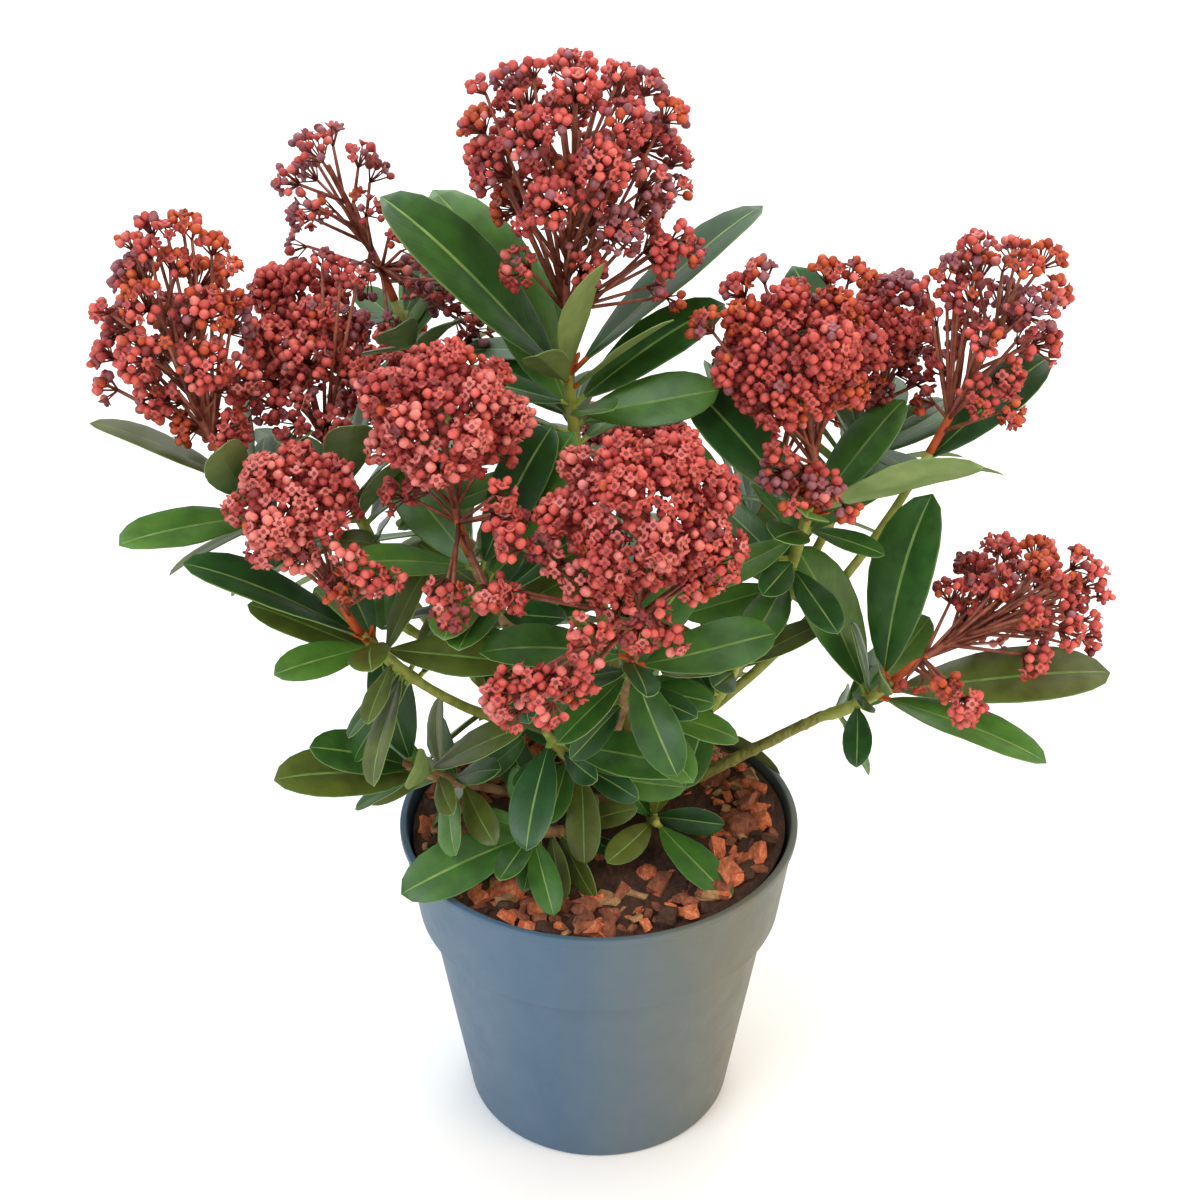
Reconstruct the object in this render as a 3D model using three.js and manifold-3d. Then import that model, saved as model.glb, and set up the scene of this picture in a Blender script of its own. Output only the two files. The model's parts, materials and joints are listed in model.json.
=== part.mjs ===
// A potted skimmia: a young evergreen shrub with red flower heads over whorls of leathery leaves,
// growing from a short woody foot in a tapered nursery pot.
// Millimetres, +Z up, +Y towards the back of the plant. The origin is the centre of the pot's underside.
import * as THREE from "three";
import { mergeVertices } from "three/addons/utils/BufferGeometryUtils.js";
import Module from "manifold-3d";

const wasm = await Module();
wasm.setup();

// ---- driving dimensions ----

const pot = {
  height: 143,
  rimRadius: 85,
  collarHeight: 42,
  collarFootRadius: 78.5,
  bodyTopRadius: 74.3,
  baseRadius: 59,
  wall: 1.8,
  floor: 2.4,
  lip: 1.2,
  lipHeight: 3,
  step: 1, // how far a change of radius slopes
  edge: 2,
  sides: 32,
  drainHoles: 5,
  drainHoleRadius: 5,
  drainHoleSides: 6,
  drainCircleRadius: 42,
};

const soil = {
  top: 132,
  gap: 0.4,
  sides: 24,
  chips: 24,
  chipSize: 12,
  chipSizes: [0.7, 1.1], // shares of chipSize
  chipShape: [1, 0.62, 0.42], // length, width and thickness
  chipTilt: 0.3, // radians
  chipInset: 8.6,
  bareRadius: 15,
  seed: 71,
};

const clearance = 0.3; // between a limb and what grows from it
const goldenAngle = 137.5;
const sampleStep = 4; // between the points that stand for a limb or branch when things are kept apart

const trunk = { foot: [20, 18, soil.top - 3], fork: [17, 13, 161], flare: 9.5, base: 6.2, tip: 4.8,
  sides: 9, steps: 4 };

// Main boughs: the parent limb, how far up it they start, where they end, and their radii.
const boughs = [
  { name: "bough_upright", parent: "trunk", at: 0.97, end: [0, 10, 246], sweep: 0.1, radii: [3.6, 2.6] },
  { name: "bough_left", parent: "trunk", at: 0.86, end: [-58, -4, 226], sweep: 0.16, radii: [3.4, 2.4] },
  { name: "bough_front", parent: "trunk", at: 0.72, end: [0, -20, 202], sweep: 0.14, radii: [3.2, 2.4] },
  { name: "bough_right", parent: "trunk", at: 0.92, end: [66, 8, 230], sweep: 0.14, radii: [3.4, 2.4] },
  { name: "bough_low_right", parent: "trunk", at: 0.2, end: [92, -8, 198], sweep: 0, radii: [2.9, 2.1] },
  { name: "bough_rear", parent: "trunk", at: 0.62, end: [12, 56, 196], sweep: 0.14, radii: [3.0, 2.3] },
];

// Shoots: each is a stem from a limb to its leaf node, a whorl of leaves below that node and, on a
// flowering shoot, a head of rounded flower clusters above it.
//   leads    the leaves that stand out most, each as its tip seen from the node and its roll about itself:
//            [turn from +X, rise above level, distance, roll], in degrees and mm
//   leaves   how many more the rule adds, of about leafLength, from the angle `phase` on
//   head     the centre of the flower head; reach: its half width and half height
//   dense    the clusters press together into one knobbly head, where a looser head has them on branches
//   lobes    side clusters below the head: [x, y, z, reach, clusters]
const shoots = [
  { name: "top", parent: "bough_upright", at: 0.98, node: [-12, 8, 349], phase: 215,
    leads: [[27, 31, 94, 40], [178, 45, 88, -25], [152, 47, 80, -20], [252, 66, 46, 0], [358, 12, 60, 25],
      [335, -8, 57, 25]],
    leaves: 4, leafLength: 70, head: [-8, 20, 418], reach: [43, 46], clusters: 19, clusterRadius: 10.4,
    lobes: [[26, 8, 390, 14, 3]] },
  { name: "left_rear", parent: "bough_upright", at: 0.66, node: [-82, 60, 352], phase: 20,
    leads: [[190, -14, 40, -10]],
    leaves: 4, leafLength: 60, head: [-101, 55, 401], reach: [27, 28], clusters: 9, clusterRadius: 8.4,
    lobes: [[-60, 50, 368, 18, 4]] },
  { name: "left_outer", parent: "bough_left", at: 0.97, node: [-139, -8, 307], phase: 300,
    leads: [[184, 33, 55, 15], [220, -6, 52, -12]],
    leaves: 2, leafLength: 60, head: [-161, 0, 366], reach: [33, 43], clusters: 15, clusterRadius: 9.8,
    lobes: [[-151, -10, 331, 14, 3]] },
  { name: "left_inner", parent: "bough_left", at: 0.72, node: [-103, 12, 298], phase: 80,
    leads: [[290, 50, 54, 0]],
    leaves: 6, leafLength: 64, head: [-114, 25, 347], reach: [29, 37], clusters: 16, clusterRadius: 9,
    dense: true, lobes: [] },
  { name: "centre", parent: "bough_front", at: 0.98, node: [-48, -40, 290], phase: 100,
    leads: [[207, 17, 50, -15], [20, 58, 56, 30], [262, -6, 46, 0]],
    leaves: 5, leafLength: 62, head: [-55, -45, 347], reach: [35, 34], clusters: 22, clusterRadius: 9.4,
    dense: true, lobes: [[-31, -44, 307, 9, 1], [-48, -84, 296, 14, 3]] },
  { name: "left_front", parent: "bough_left", at: 0.46, node: [-89, -50, 262], phase: 330,
    leads: [[187, 34, 70, 3], [219, -2, 36, -30], [344, 0, 60, 20], [164, 32, 65, -10]],
    leaves: 0, leafLength: 60, head: [-107, -50, 312], reach: [28, 28], clusters: 17, clusterRadius: 8.6,
    dense: true, lobes: [[-90, -64, 288, 8, 1]] },
  { name: "front", parent: "bough_front", at: 0.74, node: [13, -60, 262], phase: 300,
    leads: [[200, 14, 58, -25], [297, -47, 49, 20], [348, 2, 54, 25], [238, -38, 44, 0]],
    leaves: 0, leafLength: 60, head: [15, -65, 322], reach: [38, 37], clusters: 24, clusterRadius: 9.8,
    dense: true, lobes: [[11, -94, 290, 15, 3], [-19, -102, 267, 17, 4]] },
  { name: "right_inner", parent: "bough_right", at: 0.97, node: [82, -8, 297], phase: 10,
    leads: [[155, 40, 66, -25], [32, 43, 52, 10], [327, -33, 39, 10], [202, -28, 54, -15]],
    leaves: 3, leafLength: 62, head: [71, 0, 354], reach: [37, 36], clusters: 20, clusterRadius: 9.6,
    dense: true, lobes: [[80, -26, 316, 12, 3]] },
  { name: "right_rear", parent: "bough_right", at: 0.7, node: [109, 32, 308], phase: 60,
    leads: [[322, -6, 50, 20], [134, 57, 72, 0]],
    leaves: 3, leafLength: 60, head: [113, 40, 352], reach: [26, 28], clusters: 13, clusterRadius: 8.6,
    dense: true, lobes: [] },
  { name: "right_outer", parent: "bough_right", at: 0.42, node: [130, 15, 306], phase: 60,
    leads: [[21, 37, 60, 25]],
    leaves: 2, leafLength: 60, head: [155, 25, 357], reach: [31, 41], clusters: 14, clusterRadius: 9.4,
    lobes: [[151, 2, 332, 13, 3]] },
  { name: "right_low", parent: "bough_low_right", at: 0.98, node: [118, -18, 221], phase: 250,
    leads: [[71, 80, 78, -18], [357, 6, 86, 28], [332, -12, 66, 8], [138, 43, 52, -12], [198, 33, 74, -25],
      [240, -28, 39, 0]],
    leaves: 2, leafLength: 54, head: [172, 0, 247], reach: [40, 30], clusters: 18, clusterRadius: 8.2,
    lobes: [[139, -46, 234, 12, 3]] },
  { name: "rear_left", parent: "bough_rear", at: 0.96, node: [-70, 78, 247], phase: 130, leads: [],
    leaves: 9, leafLength: 72, head: [-86, 95, 301], reach: [32, 31], clusters: 16, clusterRadius: 9.8,
    dense: true, lobes: [] },
  { name: "rear_right", parent: "bough_rear", at: 0.8, node: [70, 76, 246], phase: 250, leads: [],
    leaves: 9, leafLength: 72, head: [84, 94, 300], reach: [32, 31], clusters: 16, clusterRadius: 9.8,
    dense: true, lobes: [] },
  { name: "rear_low", parent: "bough_rear", at: 0.6, node: [8, 94, 214], phase: 300, leads: [],
    leaves: 9, leafLength: 70, head: [16, 118, 262], reach: [30, 29], clusters: 15, clusterRadius: 9.6,
    dense: true, lobes: [] },
  { name: "mid_right", parent: "bough_right", at: 0.3, node: [58, -14, 234], phase: 0,
    leads: [[232, 20, 54, -10]],
    leaves: 0, leafLength: 50 },
  { name: "low_left", parent: "trunk", at: 0.3, node: [-79, -34, 192], phase: 10,
    leads: [[119, 74, 45, -20], [216, 35, 43, -30], [217, 6, 60, -15], [346, 30, 56, 20]],
    leaves: 3, leafLength: 50 },
  { name: "low_front", parent: "trunk", at: 0.5, node: [-21, -38, 210], phase: 200,
    leads: [[258, -36, 47, 0], [336, 3, 60, 20]],
    leaves: 3, leafLength: 50 },
  { name: "low_near", parent: "trunk", at: 0.12, node: [-30, -42, 164], phase: 60,
    leads: [[293, -30, 36, 10], [210, -8, 53, -40]],
    leaves: 2, leafLength: 44 },
  { name: "low_right", parent: "trunk", at: 0.34, node: [24, -20, 152], phase: 330,
    leads: [[319, -10, 46, 0], [232, 2, 31, -30]],
    leaves: 2, leafLength: 50 },
  { name: "low_rear", parent: "trunk", at: 0.25, node: [52, 62, 190], phase: 145, leads: [],
    leaves: 7, leafLength: 58 },
  { name: "low_rear_left", parent: "trunk", at: 0.4, node: [-44, 58, 194], phase: 70, leads: [],
    leaves: 7, leafLength: 58 },
];

const stem = { baseRadius: 2.3, tipRadius: 1.7, sweep: 0.12, sides: 4, steps: 3 };
const bough = { sides: 5, steps: 4 };

const leaf = {
  firstBelow: 6.5,
  leadSpacing: 2.8, // along the stem from one lead leaf to the next
  spacing: 4.4,
  topTilt: 42, // degrees from the stem's own direction, for the highest leaf the rule adds
  lowTilt: 92,
  tiltJitter: 9,
  turnJitter: 14,
  rollJitter: 16,
  lengthShare: [0.82, 1.12],
  widthShare: 0.37,
  droop: [0.02, 0.14],
  leadDroop: 0.07,
  fold: 0.12, // how far the edges stand above the midrib, as a share of the half width
  keel: 0.5,
  stalkHalfWidth: 1.2,
  leadTurns: [0, 8, -8, 16, -16, 24, -24],
  turns: [0, 20, -20, 40, -40, 60, -60, 80, -80],
};
// How wide a leaf is at stations along it, as a share of its widest half width.
const leafStations = [0, 0.3, 0.72, 1];
const leafOutline = [0, 0.86, 0.88, 0];

const panicle = {
  stalkRadius: [1.8, 1.2],
  branchRadius: 1.3,
  sides: 4,
  steps: 3,
  tipShare: 0.3, // of the head's half height, from its centre to the top of the stalk
  rise: 0.36, // how far the stalk goes on in the stem's own direction
  rootShares: [0.34, 0.92],
  lobeRoot: 0.2,
  lobeStep: 0.05,
  lowestCosine: -0.72,
  depthShare: [0.88, 0.98],
  coreInset: 0.9, // of a cluster's radius, from the outline of a dense head to its core
  headDetail: 3,
  squash: 0.88,
  turnJitter: 12,
  sizes: [0.86, 1.1], // of a cluster, as shares of its head's clusterRadius
  lobeSizes: [0.78, 0.92],
};

// How far apart things that belong to different pieces stay.
const keepApart = { leafFromLeaf: 7, leafFromOwnLeaf: 3.4, leafFromCluster: 2.8, leafFromLimb: 2.6,
  leafFromSoil: 6, leafPastPot: 7, leafFromRim: 9, leafAboveRim: 5,
  clusterFromCluster: 1.2, clusterFromLimb: 2.2, ownClusters: 0.8 };

const colours = { pot: 0x71848f, soil: 0x6b3a20, wood: 0x8a7350, leaf: 0x2f6b33, flower: 0xc2474c };

// ---- small vector helpers ----

const radians = THREE.MathUtils.degToRad;
const vector = (list) => new THREE.Vector3(...list);
const along = (start, direction, distance) => start.clone().addScaledVector(direction, distance);
const near = (a, b, limit) => a.distanceToSquared(b) < limit * limit;

// Two directions square to an axis and to each other.
function sidesOf(axis) {
  const reference = Math.abs(axis.x) > 0.8 ? new THREE.Vector3(0, 1, 0) : new THREE.Vector3(1, 0, 0);
  const first = reference.cross(axis).normalize();
  const second = axis.clone().cross(first);
  return [first, second];
}

// The same seed always gives the same run of numbers from 0 to 1.
function seededRandom(seed) {
  let state = seed >>> 0;
  const next = () => {
    state = (Math.imul(state, 1664525) + 1013904223) >>> 0;
    return state / 4294967296;
  };
  next();
  next();
  return next;
}
const between = (range, share) => range[0] + (range[1] - range[0]) * share;
const spread = (amount, share) => amount * (2 * share - 1);

// ---- solids ----

function toSolid(geometry) {
  const bare = geometry.index ? geometry.toNonIndexed() : geometry.clone();
  bare.deleteAttribute("normal");
  bare.deleteAttribute("uv");
  const merged = mergeVertices(bare, 1e-4);
  const triVerts = new Uint32Array(merged.index.array);
  const vertProperties = merged.attributes.position.array;
  return new wasm.Manifold(new wasm.Mesh({ numProp: 3, vertProperties, triVerts }));
}

function toGeometry(solid) {
  const mesh = solid.getMesh();
  const geometry = new THREE.BufferGeometry();
  geometry.setAttribute("position", new THREE.BufferAttribute(new Float32Array(mesh.vertProperties), 3));
  geometry.setIndex(new THREE.BufferAttribute(new Uint32Array(mesh.triVerts), 1));
  geometry.computeVertexNormals();
  return geometry;
}

const joinAll = (solids) => solids.reduce((sum, next) => sum.add(next));
const largestBody = (solid) => solid.decompose().sort((a, b) => b.volume() - a.volume())[0];

// Bends a unit cylinder: `place` gives the point for a height from 0 to 1 and a direction across.
function bentCylinder(sides, steps, pointed, place) {
  const geometry = new THREE.CylinderGeometry(pointed ? 0 : 1, 1, 1, sides, steps);
  const position = geometry.attributes.position;
  const point = new THREE.Vector3();
  for (let i = 0; i < position.count; i++) {
    point.fromBufferAttribute(position, i);
    const size = Math.hypot(point.x, point.z);
    const across = size > 1e-6 ? point.x / size : 0;
    const through = size > 1e-6 ? point.z / size : 0;
    const moved = place(point.y + 0.5, across, through);
    position.setXYZ(i, moved.x, moved.y, moved.z);
  }
  return geometry;
}

// ---- limbs ----

// A limb bows outwards before it turns up: its middle control point lies off the straight line.
function bowedCurve(start, end, sweep) {
  const control = start.clone().lerp(end, 0.5);
  const rise = end.z - start.z;
  control.x += (end.x - start.x) * sweep;
  control.y += (end.y - start.y) * sweep;
  control.z -= rise * sweep;
  return new THREE.QuadraticBezierCurve3(start, control, end);
}

// The round, tapering surface of a limb, made thicker and longer at both ends by `grow`.
function limbGeometry(limb, grow) {
  const { curve, radii, sides, steps, flare } = limb;
  return bentCylinder(sides, steps, false, (t, across, through) => {
    const tangent = curve.getTangent(t);
    const [first, second] = sidesOf(tangent);
    const flared = flare ? (flare - radii[0]) * Math.pow(1 - t, 5) : 0;
    const radius = between(radii, t) + flared + grow;
    const beyond = t > 0.999 ? grow : t < 0.001 ? -grow : 0;
    return along(curve.getPoint(t), tangent, beyond)
      .addScaledVector(first, across * radius)
      .addScaledVector(second, -through * radius);
  });
}

const limbs = new Map();

function addLimb(name, curve, radii, { sides, steps, flare }) {
  const limb = { name, curve, radii, sides, steps, flare };
  limb.span = curve.getPoint(0).distanceTo(curve.getPoint(1));
  const count = Math.ceil(limb.span / sampleStep);
  limb.samples = Array.from({ length: count + 1 }, (_, i) => ({
    point: curve.getPoint(i / count),
    radius: between(radii, i / count),
  }));
  limbs.set(name, limb);
}

function growLimbs() {
  const trunkCurve = bowedCurve(vector(trunk.foot), vector(trunk.fork), 0);
  addLimb("trunk", trunkCurve, [trunk.base, trunk.tip], trunk);
  for (const b of boughs) {
    const start = limbs.get(b.parent).curve.getPoint(b.at);
    addLimb(b.name, bowedCurve(start, vector(b.end), b.sweep), b.radii, bough);
  }
  for (const s of shoots) {
    const start = limbs.get(s.parent).curve.getPoint(s.at);
    const curve = bowedCurve(start, vector(s.node), stem.sweep);
    addLimb("leaves_" + s.name, curve, [stem.baseRadius, stem.tipRadius], stem);
  }
  for (const s of shoots.filter((shoot) => shoot.head)) {
    const node = vector(s.node);
    const centre = vector(s.head);
    const towards = limbs.get("leaves_" + s.name).curve.getTangent(1);
    const axis = centre.clone().sub(node).normalize();
    const control = along(node, towards, node.distanceTo(centre) * panicle.rise);
    const end = along(centre, axis, s.reach[1] * panicle.tipShare);
    const curve = new THREE.QuadraticBezierCurve3(node, control, end);
    addLimb("flowers_" + s.name, curve, panicle.stalkRadius, panicle);
  }
}

// ---- flower heads ----

// Points down the middle of the branch that carries a cluster.
function branchSamples(start, end) {
  const count = Math.ceil(start.distanceTo(end) / sampleStep);
  return Array.from({ length: count + 1 }, (_, i) => start.clone().lerp(end, i / count));
}

// Places one cluster and its branch unless they would touch another head, a limb or a lead leaf.
function placeCluster(centre, radius, root, owner, isPressed, clusters, blades) {
  const samples = branchSamples(root, centre);
  const { branchRadius } = panicle;
  const fromBranch = branchRadius + keepApart.clusterFromCluster;
  for (const c of clusters) {
    if (c.isCore && c.owner === owner) continue;
    const limit = c.owner === owner
      ? (c.radius + radius) * keepApart.ownClusters
      : c.radius + radius + keepApart.clusterFromCluster;
    if (near(c.centre, centre, limit)) return;
    if (c.owner === owner) continue;
    if (samples.some((p) => near(p, c.centre, c.radius + fromBranch))) return;
    if (c.samples.some((p) => near(p, centre, radius + fromBranch))) return;
  }
  for (const limb of limbs.values()) {
    if (limb.name === owner) continue;
    for (const s of limb.samples) {
      if (near(s.point, centre, s.radius + radius + keepApart.clusterFromLimb)) return;
      if (samples.some((p) => near(p, s.point, s.radius + branchRadius + keepApart.clusterFromLimb))) return;
    }
  }
  for (const blade of blades) {
    for (const p of blade.samples) {
      if (near(p, centre, radius + keepApart.leafFromCluster)) return;
      if (samples.some((q) => near(p, q, branchRadius + keepApart.leafFromLimb))) return;
    }
  }
  clusters.push({ centre, radius, root, owner, samples, isPressed });
}

// The middle of a dense head.
function addCore(shoot, clusters) {
  const centre = vector(shoot.head);
  const radius = Math.min(...shoot.reach) - shoot.clusterRadius * panicle.coreInset;
  const owner = "flowers_" + shoot.name;
  clusters.push({ centre, radius, root: centre, owner, samples: [], isCore: true, isPressed: true });
}

// Clusters sit on a dome round the head's centre, in a golden-angle spiral from the top down.
function growHead(shoot, index, clusters, blades) {
  const random = seededRandom(900 + index);
  const owner = "flowers_" + shoot.name;
  const { curve } = limbs.get(owner);
  const centre = vector(shoot.head);
  const axis = centre.clone().sub(vector(shoot.node)).normalize();
  const [first, second] = sidesOf(axis);
  for (let k = 0; k < shoot.clusters; k++) {
    const cosine = 1 - (1 - panicle.lowestCosine) * (k + 0.4) / shoot.clusters;
    const sine = Math.sqrt(1 - cosine * cosine);
    const turn = radians(shoot.phase + goldenAngle * k + spread(panicle.turnJitter, random()));
    const depth = between(panicle.depthShare, random());
    const radius = shoot.clusterRadius * between(panicle.sizes, random());
    const wide = (shoot.reach[0] - radius) * depth * sine;
    const tall = (shoot.reach[1] - radius) * depth * cosine;
    const place = along(centre, axis, tall)
      .addScaledVector(first, wide * Math.cos(turn))
      .addScaledVector(second, wide * Math.sin(turn));
    const root = shoot.dense ? place : curve.getPoint(between(panicle.rootShares, (cosine + 1) / 2));
    placeCluster(place, radius, root, owner, shoot.dense, clusters, blades);
  }
  for (const [x, y, z, reach, count] of shoot.lobes) {
    const lobe = new THREE.Vector3(x, y, z);
    for (let k = 0; k < count; k++) {
      const turn = radians(shoot.phase + (360 * k) / count);
      const radius = shoot.clusterRadius * between(panicle.lobeSizes, random());
      const out = count > 1 ? Math.max(reach - radius * 0.6, radius * 0.8) : 0;
      const place = lobe.clone()
        .addScaledVector(first, out * Math.cos(turn))
        .addScaledVector(second, out * Math.sin(turn));
      const root = curve.getPoint(panicle.lobeRoot + panicle.lobeStep * k);
      placeCluster(place, radius, root, owner, false, clusters, blades);
    }
  }
}

// ---- leaves ----

// A point of a leaf: t along it, `across` from edge to edge, `lift` above its middle surface.
function leafPoint(blade, t, across, halfWidth, lift) {
  const sag = blade.droop * blade.length * t * t;
  const rise = leaf.fold * Math.abs(across) * halfWidth;
  return along(blade.root, blade.direction, blade.length * t)
    .addScaledVector(blade.face, rise - sag + lift)
    .addScaledVector(blade.side, across * halfWidth);
}

function halfWidthAt(blade, t) {
  let i = 1;
  while (t > leafStations[i]) i++;
  const share = (t - leafStations[i - 1]) / (leafStations[i] - leafStations[i - 1]);
  const outline = between([leafOutline[i - 1], leafOutline[i]], share);
  return Math.max(outline * blade.length * leaf.widthShare * 0.5, leaf.stalkHalfWidth * (1 - t));
}

const samplesAlong = [0.16, 0.24, 0.32, 0.4, 0.48, 0.56, 0.64, 0.72, 0.8, 0.87, 0.94, 1];
const samplesAcross = [-0.95, -0.48, 0, 0.48, 0.95];

function leafSamples(blade) {
  return samplesAlong.flatMap((t) =>
    samplesAcross.map((across) => leafPoint(blade, t, across, halfWidthAt(blade, t), 0)));
}

// True if a leaf's samples stay off the pot and soil, the limbs, the flower clusters and other leaves.
function leafFits(samples, owner, blades, clusters) {
  const fromBranch = panicle.branchRadius + keepApart.leafFromLimb;
  for (const p of samples) {
    const fromAxis = Math.hypot(p.x, p.y);
    const isOverPot = fromAxis < pot.rimRadius + keepApart.leafPastPot;
    const isOverRim = Math.abs(fromAxis - pot.rimRadius) < keepApart.leafFromRim;
    if (isOverPot && p.z < soil.top + keepApart.leafFromSoil) return false;
    if (isOverRim && p.z < pot.height + keepApart.leafAboveRim) return false;
    for (const c of clusters) {
      if (near(p, c.centre, c.radius + keepApart.leafFromCluster)) return false;
      if (c.samples.some((q) => near(p, q, fromBranch))) return false;
    }
    for (const limb of limbs.values()) {
      if (limb.name === owner) continue;
      if (limb.samples.some((s) => near(p, s.point, s.radius + keepApart.leafFromLimb))) return false;
    }
    for (const other of blades) {
      const limit = other.owner === owner ? keepApart.leafFromOwnLeaf : keepApart.leafFromLeaf;
      if (!near(p, other.middle, other.length * 0.62 + limit)) continue;
      if (other.samples.some((q) => near(p, q, limit))) return false;
    }
  }
  return true;
}

// Lays a leaf whose upper side faces `up` as far as its direction lets it. Returns whether it fits.
function layLeaf(owner, root, direction, up, roll, length, droop, blades, clusters) {
  const flatSide = direction.clone().cross(up).normalize();
  const flatFace = flatSide.clone().cross(direction);
  const face = flatFace.multiplyScalar(Math.cos(roll)).addScaledVector(flatSide, Math.sin(roll));
  const side = direction.clone().cross(face);
  const blade = { owner, root, direction, face, side, length, droop };
  blade.samples = leafSamples(blade);
  blade.middle = leafPoint(blade, 0.55, 0, 0, 0);
  const fits = leafFits(blade.samples, owner, blades, clusters);
  if (fits) blades.push(blade);
  return fits;
}

function growLeads(shoot, blades, clusters) {
  const owner = "leaves_" + shoot.name;
  const limb = limbs.get(owner);
  const up = new THREE.Vector3(0, 0, 1);
  shoot.leads.forEach(([turn, rise, distance, roll], k) => {
    const root = limb.curve.getPoint(1 - (leaf.firstBelow + leaf.leadSpacing * k) / limb.span);
    const level = Math.cos(radians(rise));
    leaf.leadTurns.some((shift) => {
      const across = radians(turn + shift);
      const aim = new THREE.Vector3(Math.cos(across), Math.sin(across), Math.tan(radians(rise)));
      aim.multiplyScalar(level);
      const reach = along(vector(shoot.node), aim, distance).sub(root);
      const length = reach.length();
      const direction = reach.divideScalar(length);
      return layLeaf(owner, root, direction, up, radians(roll), length, leaf.leadDroop, blades, clusters);
    });
  });
}

// The rest of a whorl: a golden-angle spiral on down the stem, steeper at the top.
function growWhorl(shoot, index, blades, clusters) {
  const random = seededRandom(300 + index);
  const owner = "leaves_" + shoot.name;
  const limb = limbs.get(owner);
  const top = leaf.firstBelow + leaf.leadSpacing * shoot.leads.length;
  for (let k = 0; k < shoot.leaves; k++) {
    const height = 1 - (top + leaf.spacing * k) / limb.span;
    const share = k / (shoot.leaves - 1);
    const tilt = radians(between([leaf.topTilt, leaf.lowTilt], share) + spread(leaf.tiltJitter, random()));
    const turn = shoot.phase + goldenAngle * k + spread(leaf.turnJitter, random());
    const roll = radians(spread(leaf.rollJitter, random()));
    const length = shoot.leafLength * between(leaf.lengthShare, random());
    const droop = between(leaf.droop, random());
    const root = limb.curve.getPoint(height);
    const axis = limb.curve.getTangent(height);
    const [first, second] = sidesOf(axis);
    leaf.turns.some((shift) => {
      const across = radians(turn + shift);
      const direction = first.clone().multiplyScalar(Math.cos(across))
        .addScaledVector(second, Math.sin(across))
        .multiplyScalar(Math.sin(tilt))
        .addScaledVector(axis, Math.cos(tilt));
      return layLeaf(owner, root, direction, axis, roll, length, droop, blades, clusters);
    });
  }
}

// A leaf has three edges along it: its two margins, and a keel under the midrib.
function leafGeometry(blade) {
  return bentCylinder(3, leafStations.length - 1, true, (height, across) => {
    const t = leafStations[Math.round(height * (leafStations.length - 1))];
    const isKeel = Math.abs(across) < 0.1;
    const edge = isKeel ? 0 : -Math.sign(across);
    return leafPoint(blade, t, edge, halfWidthAt(blade, t), isKeel ? -leaf.keel : 0);
  });
}

// ---- pot and soil ----

const collarFoot = pot.height - pot.collarHeight;

function wallRadius(z) {
  const isCollar = z > collarFoot;
  const radii = isCollar ? [pot.collarFootRadius, pot.rimRadius] : [pot.baseRadius, pot.bodyTopRadius];
  return between(radii, isCollar ? (z - collarFoot) / pot.collarHeight : z / collarFoot);
}

function lathe(profile, sides) {
  const points = profile.map(([radius, z]) => new THREE.Vector2(radius, z));
  return new THREE.LatheGeometry(points, sides).rotateX(Math.PI / 2);
}

function makePot() {
  const top = pot.height;
  const shell = toSolid(lathe([
    [0, 0],
    [pot.baseRadius - pot.edge, 0],
    [pot.baseRadius, pot.edge],
    [pot.bodyTopRadius, collarFoot - pot.step],
    [pot.collarFootRadius, collarFoot],
    [pot.rimRadius - pot.lip, top - pot.lipHeight - pot.step],
    [pot.rimRadius, top - pot.lipHeight],
    [pot.rimRadius, top],
    [pot.rimRadius - pot.wall - pot.lip, top],
    [pot.collarFootRadius - pot.wall, collarFoot + pot.wall],
    [pot.bodyTopRadius - pot.wall, collarFoot + pot.wall],
    [pot.baseRadius - pot.wall, pot.floor],
    [0, pot.floor],
  ], pot.sides));
  const holes = Array.from({ length: pot.drainHoles }, (_, i) => {
    const turn = (2 * Math.PI * i) / pot.drainHoles;
    const radius = pot.drainHoleRadius;
    const hole = new THREE.CylinderGeometry(radius, radius, 4 * pot.floor, pot.drainHoleSides);
    hole.rotateX(Math.PI / 2);
    hole.translate(pot.drainCircleRadius * Math.cos(turn), pot.drainCircleRadius * Math.sin(turn), 0);
    return toSolid(hole);
  });
  return shell.subtract(joinAll(holes));
}

// The growing medium fills the pot; coarse bark chips lie on it, away from the foot of the plant.
function makeSoil() {
  const random = seededRandom(soil.seed);
  const inside = pot.wall + 2 * soil.gap;
  const edge = wallRadius(soil.top) - inside - pot.lip;
  const ledge = collarFoot + pot.wall + soil.gap;
  const body = lathe([
    [0, pot.floor + soil.gap],
    [pot.baseRadius - inside, pot.floor + soil.gap],
    [pot.bodyTopRadius - inside, ledge],
    [pot.collarFootRadius - inside, ledge],
    [edge, soil.top],
    [0, soil.top],
  ], soil.sides);
  const chips = [];
  for (let i = 0; i < soil.chips; i++) {
    const turn = radians(goldenAngle * i);
    const out = (edge - soil.chipInset) * Math.sqrt((i + 0.6) / soil.chips);
    const x = out * Math.cos(turn);
    const y = out * Math.sin(turn);
    const size = soil.chipSize * between(soil.chipSizes, random());
    const turns = [spread(soil.chipTilt, random()), spread(soil.chipTilt, random()), random() * Math.PI];
    if (Math.hypot(x - trunk.foot[0], y - trunk.foot[1]) < soil.bareRadius + soil.chipSize) continue;
    const chip = new THREE.BoxGeometry(...soil.chipShape.map((share) => share * size));
    chip.applyMatrix4(new THREE.Matrix4().makeRotationFromEuler(new THREE.Euler(...turns)));
    chips.push(toSolid(chip.translate(x, y, soil.top)));
  }
  return joinAll([toSolid(body), ...chips]);
}

// ---- the whole plant ----

const root = new THREE.Group();

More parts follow.
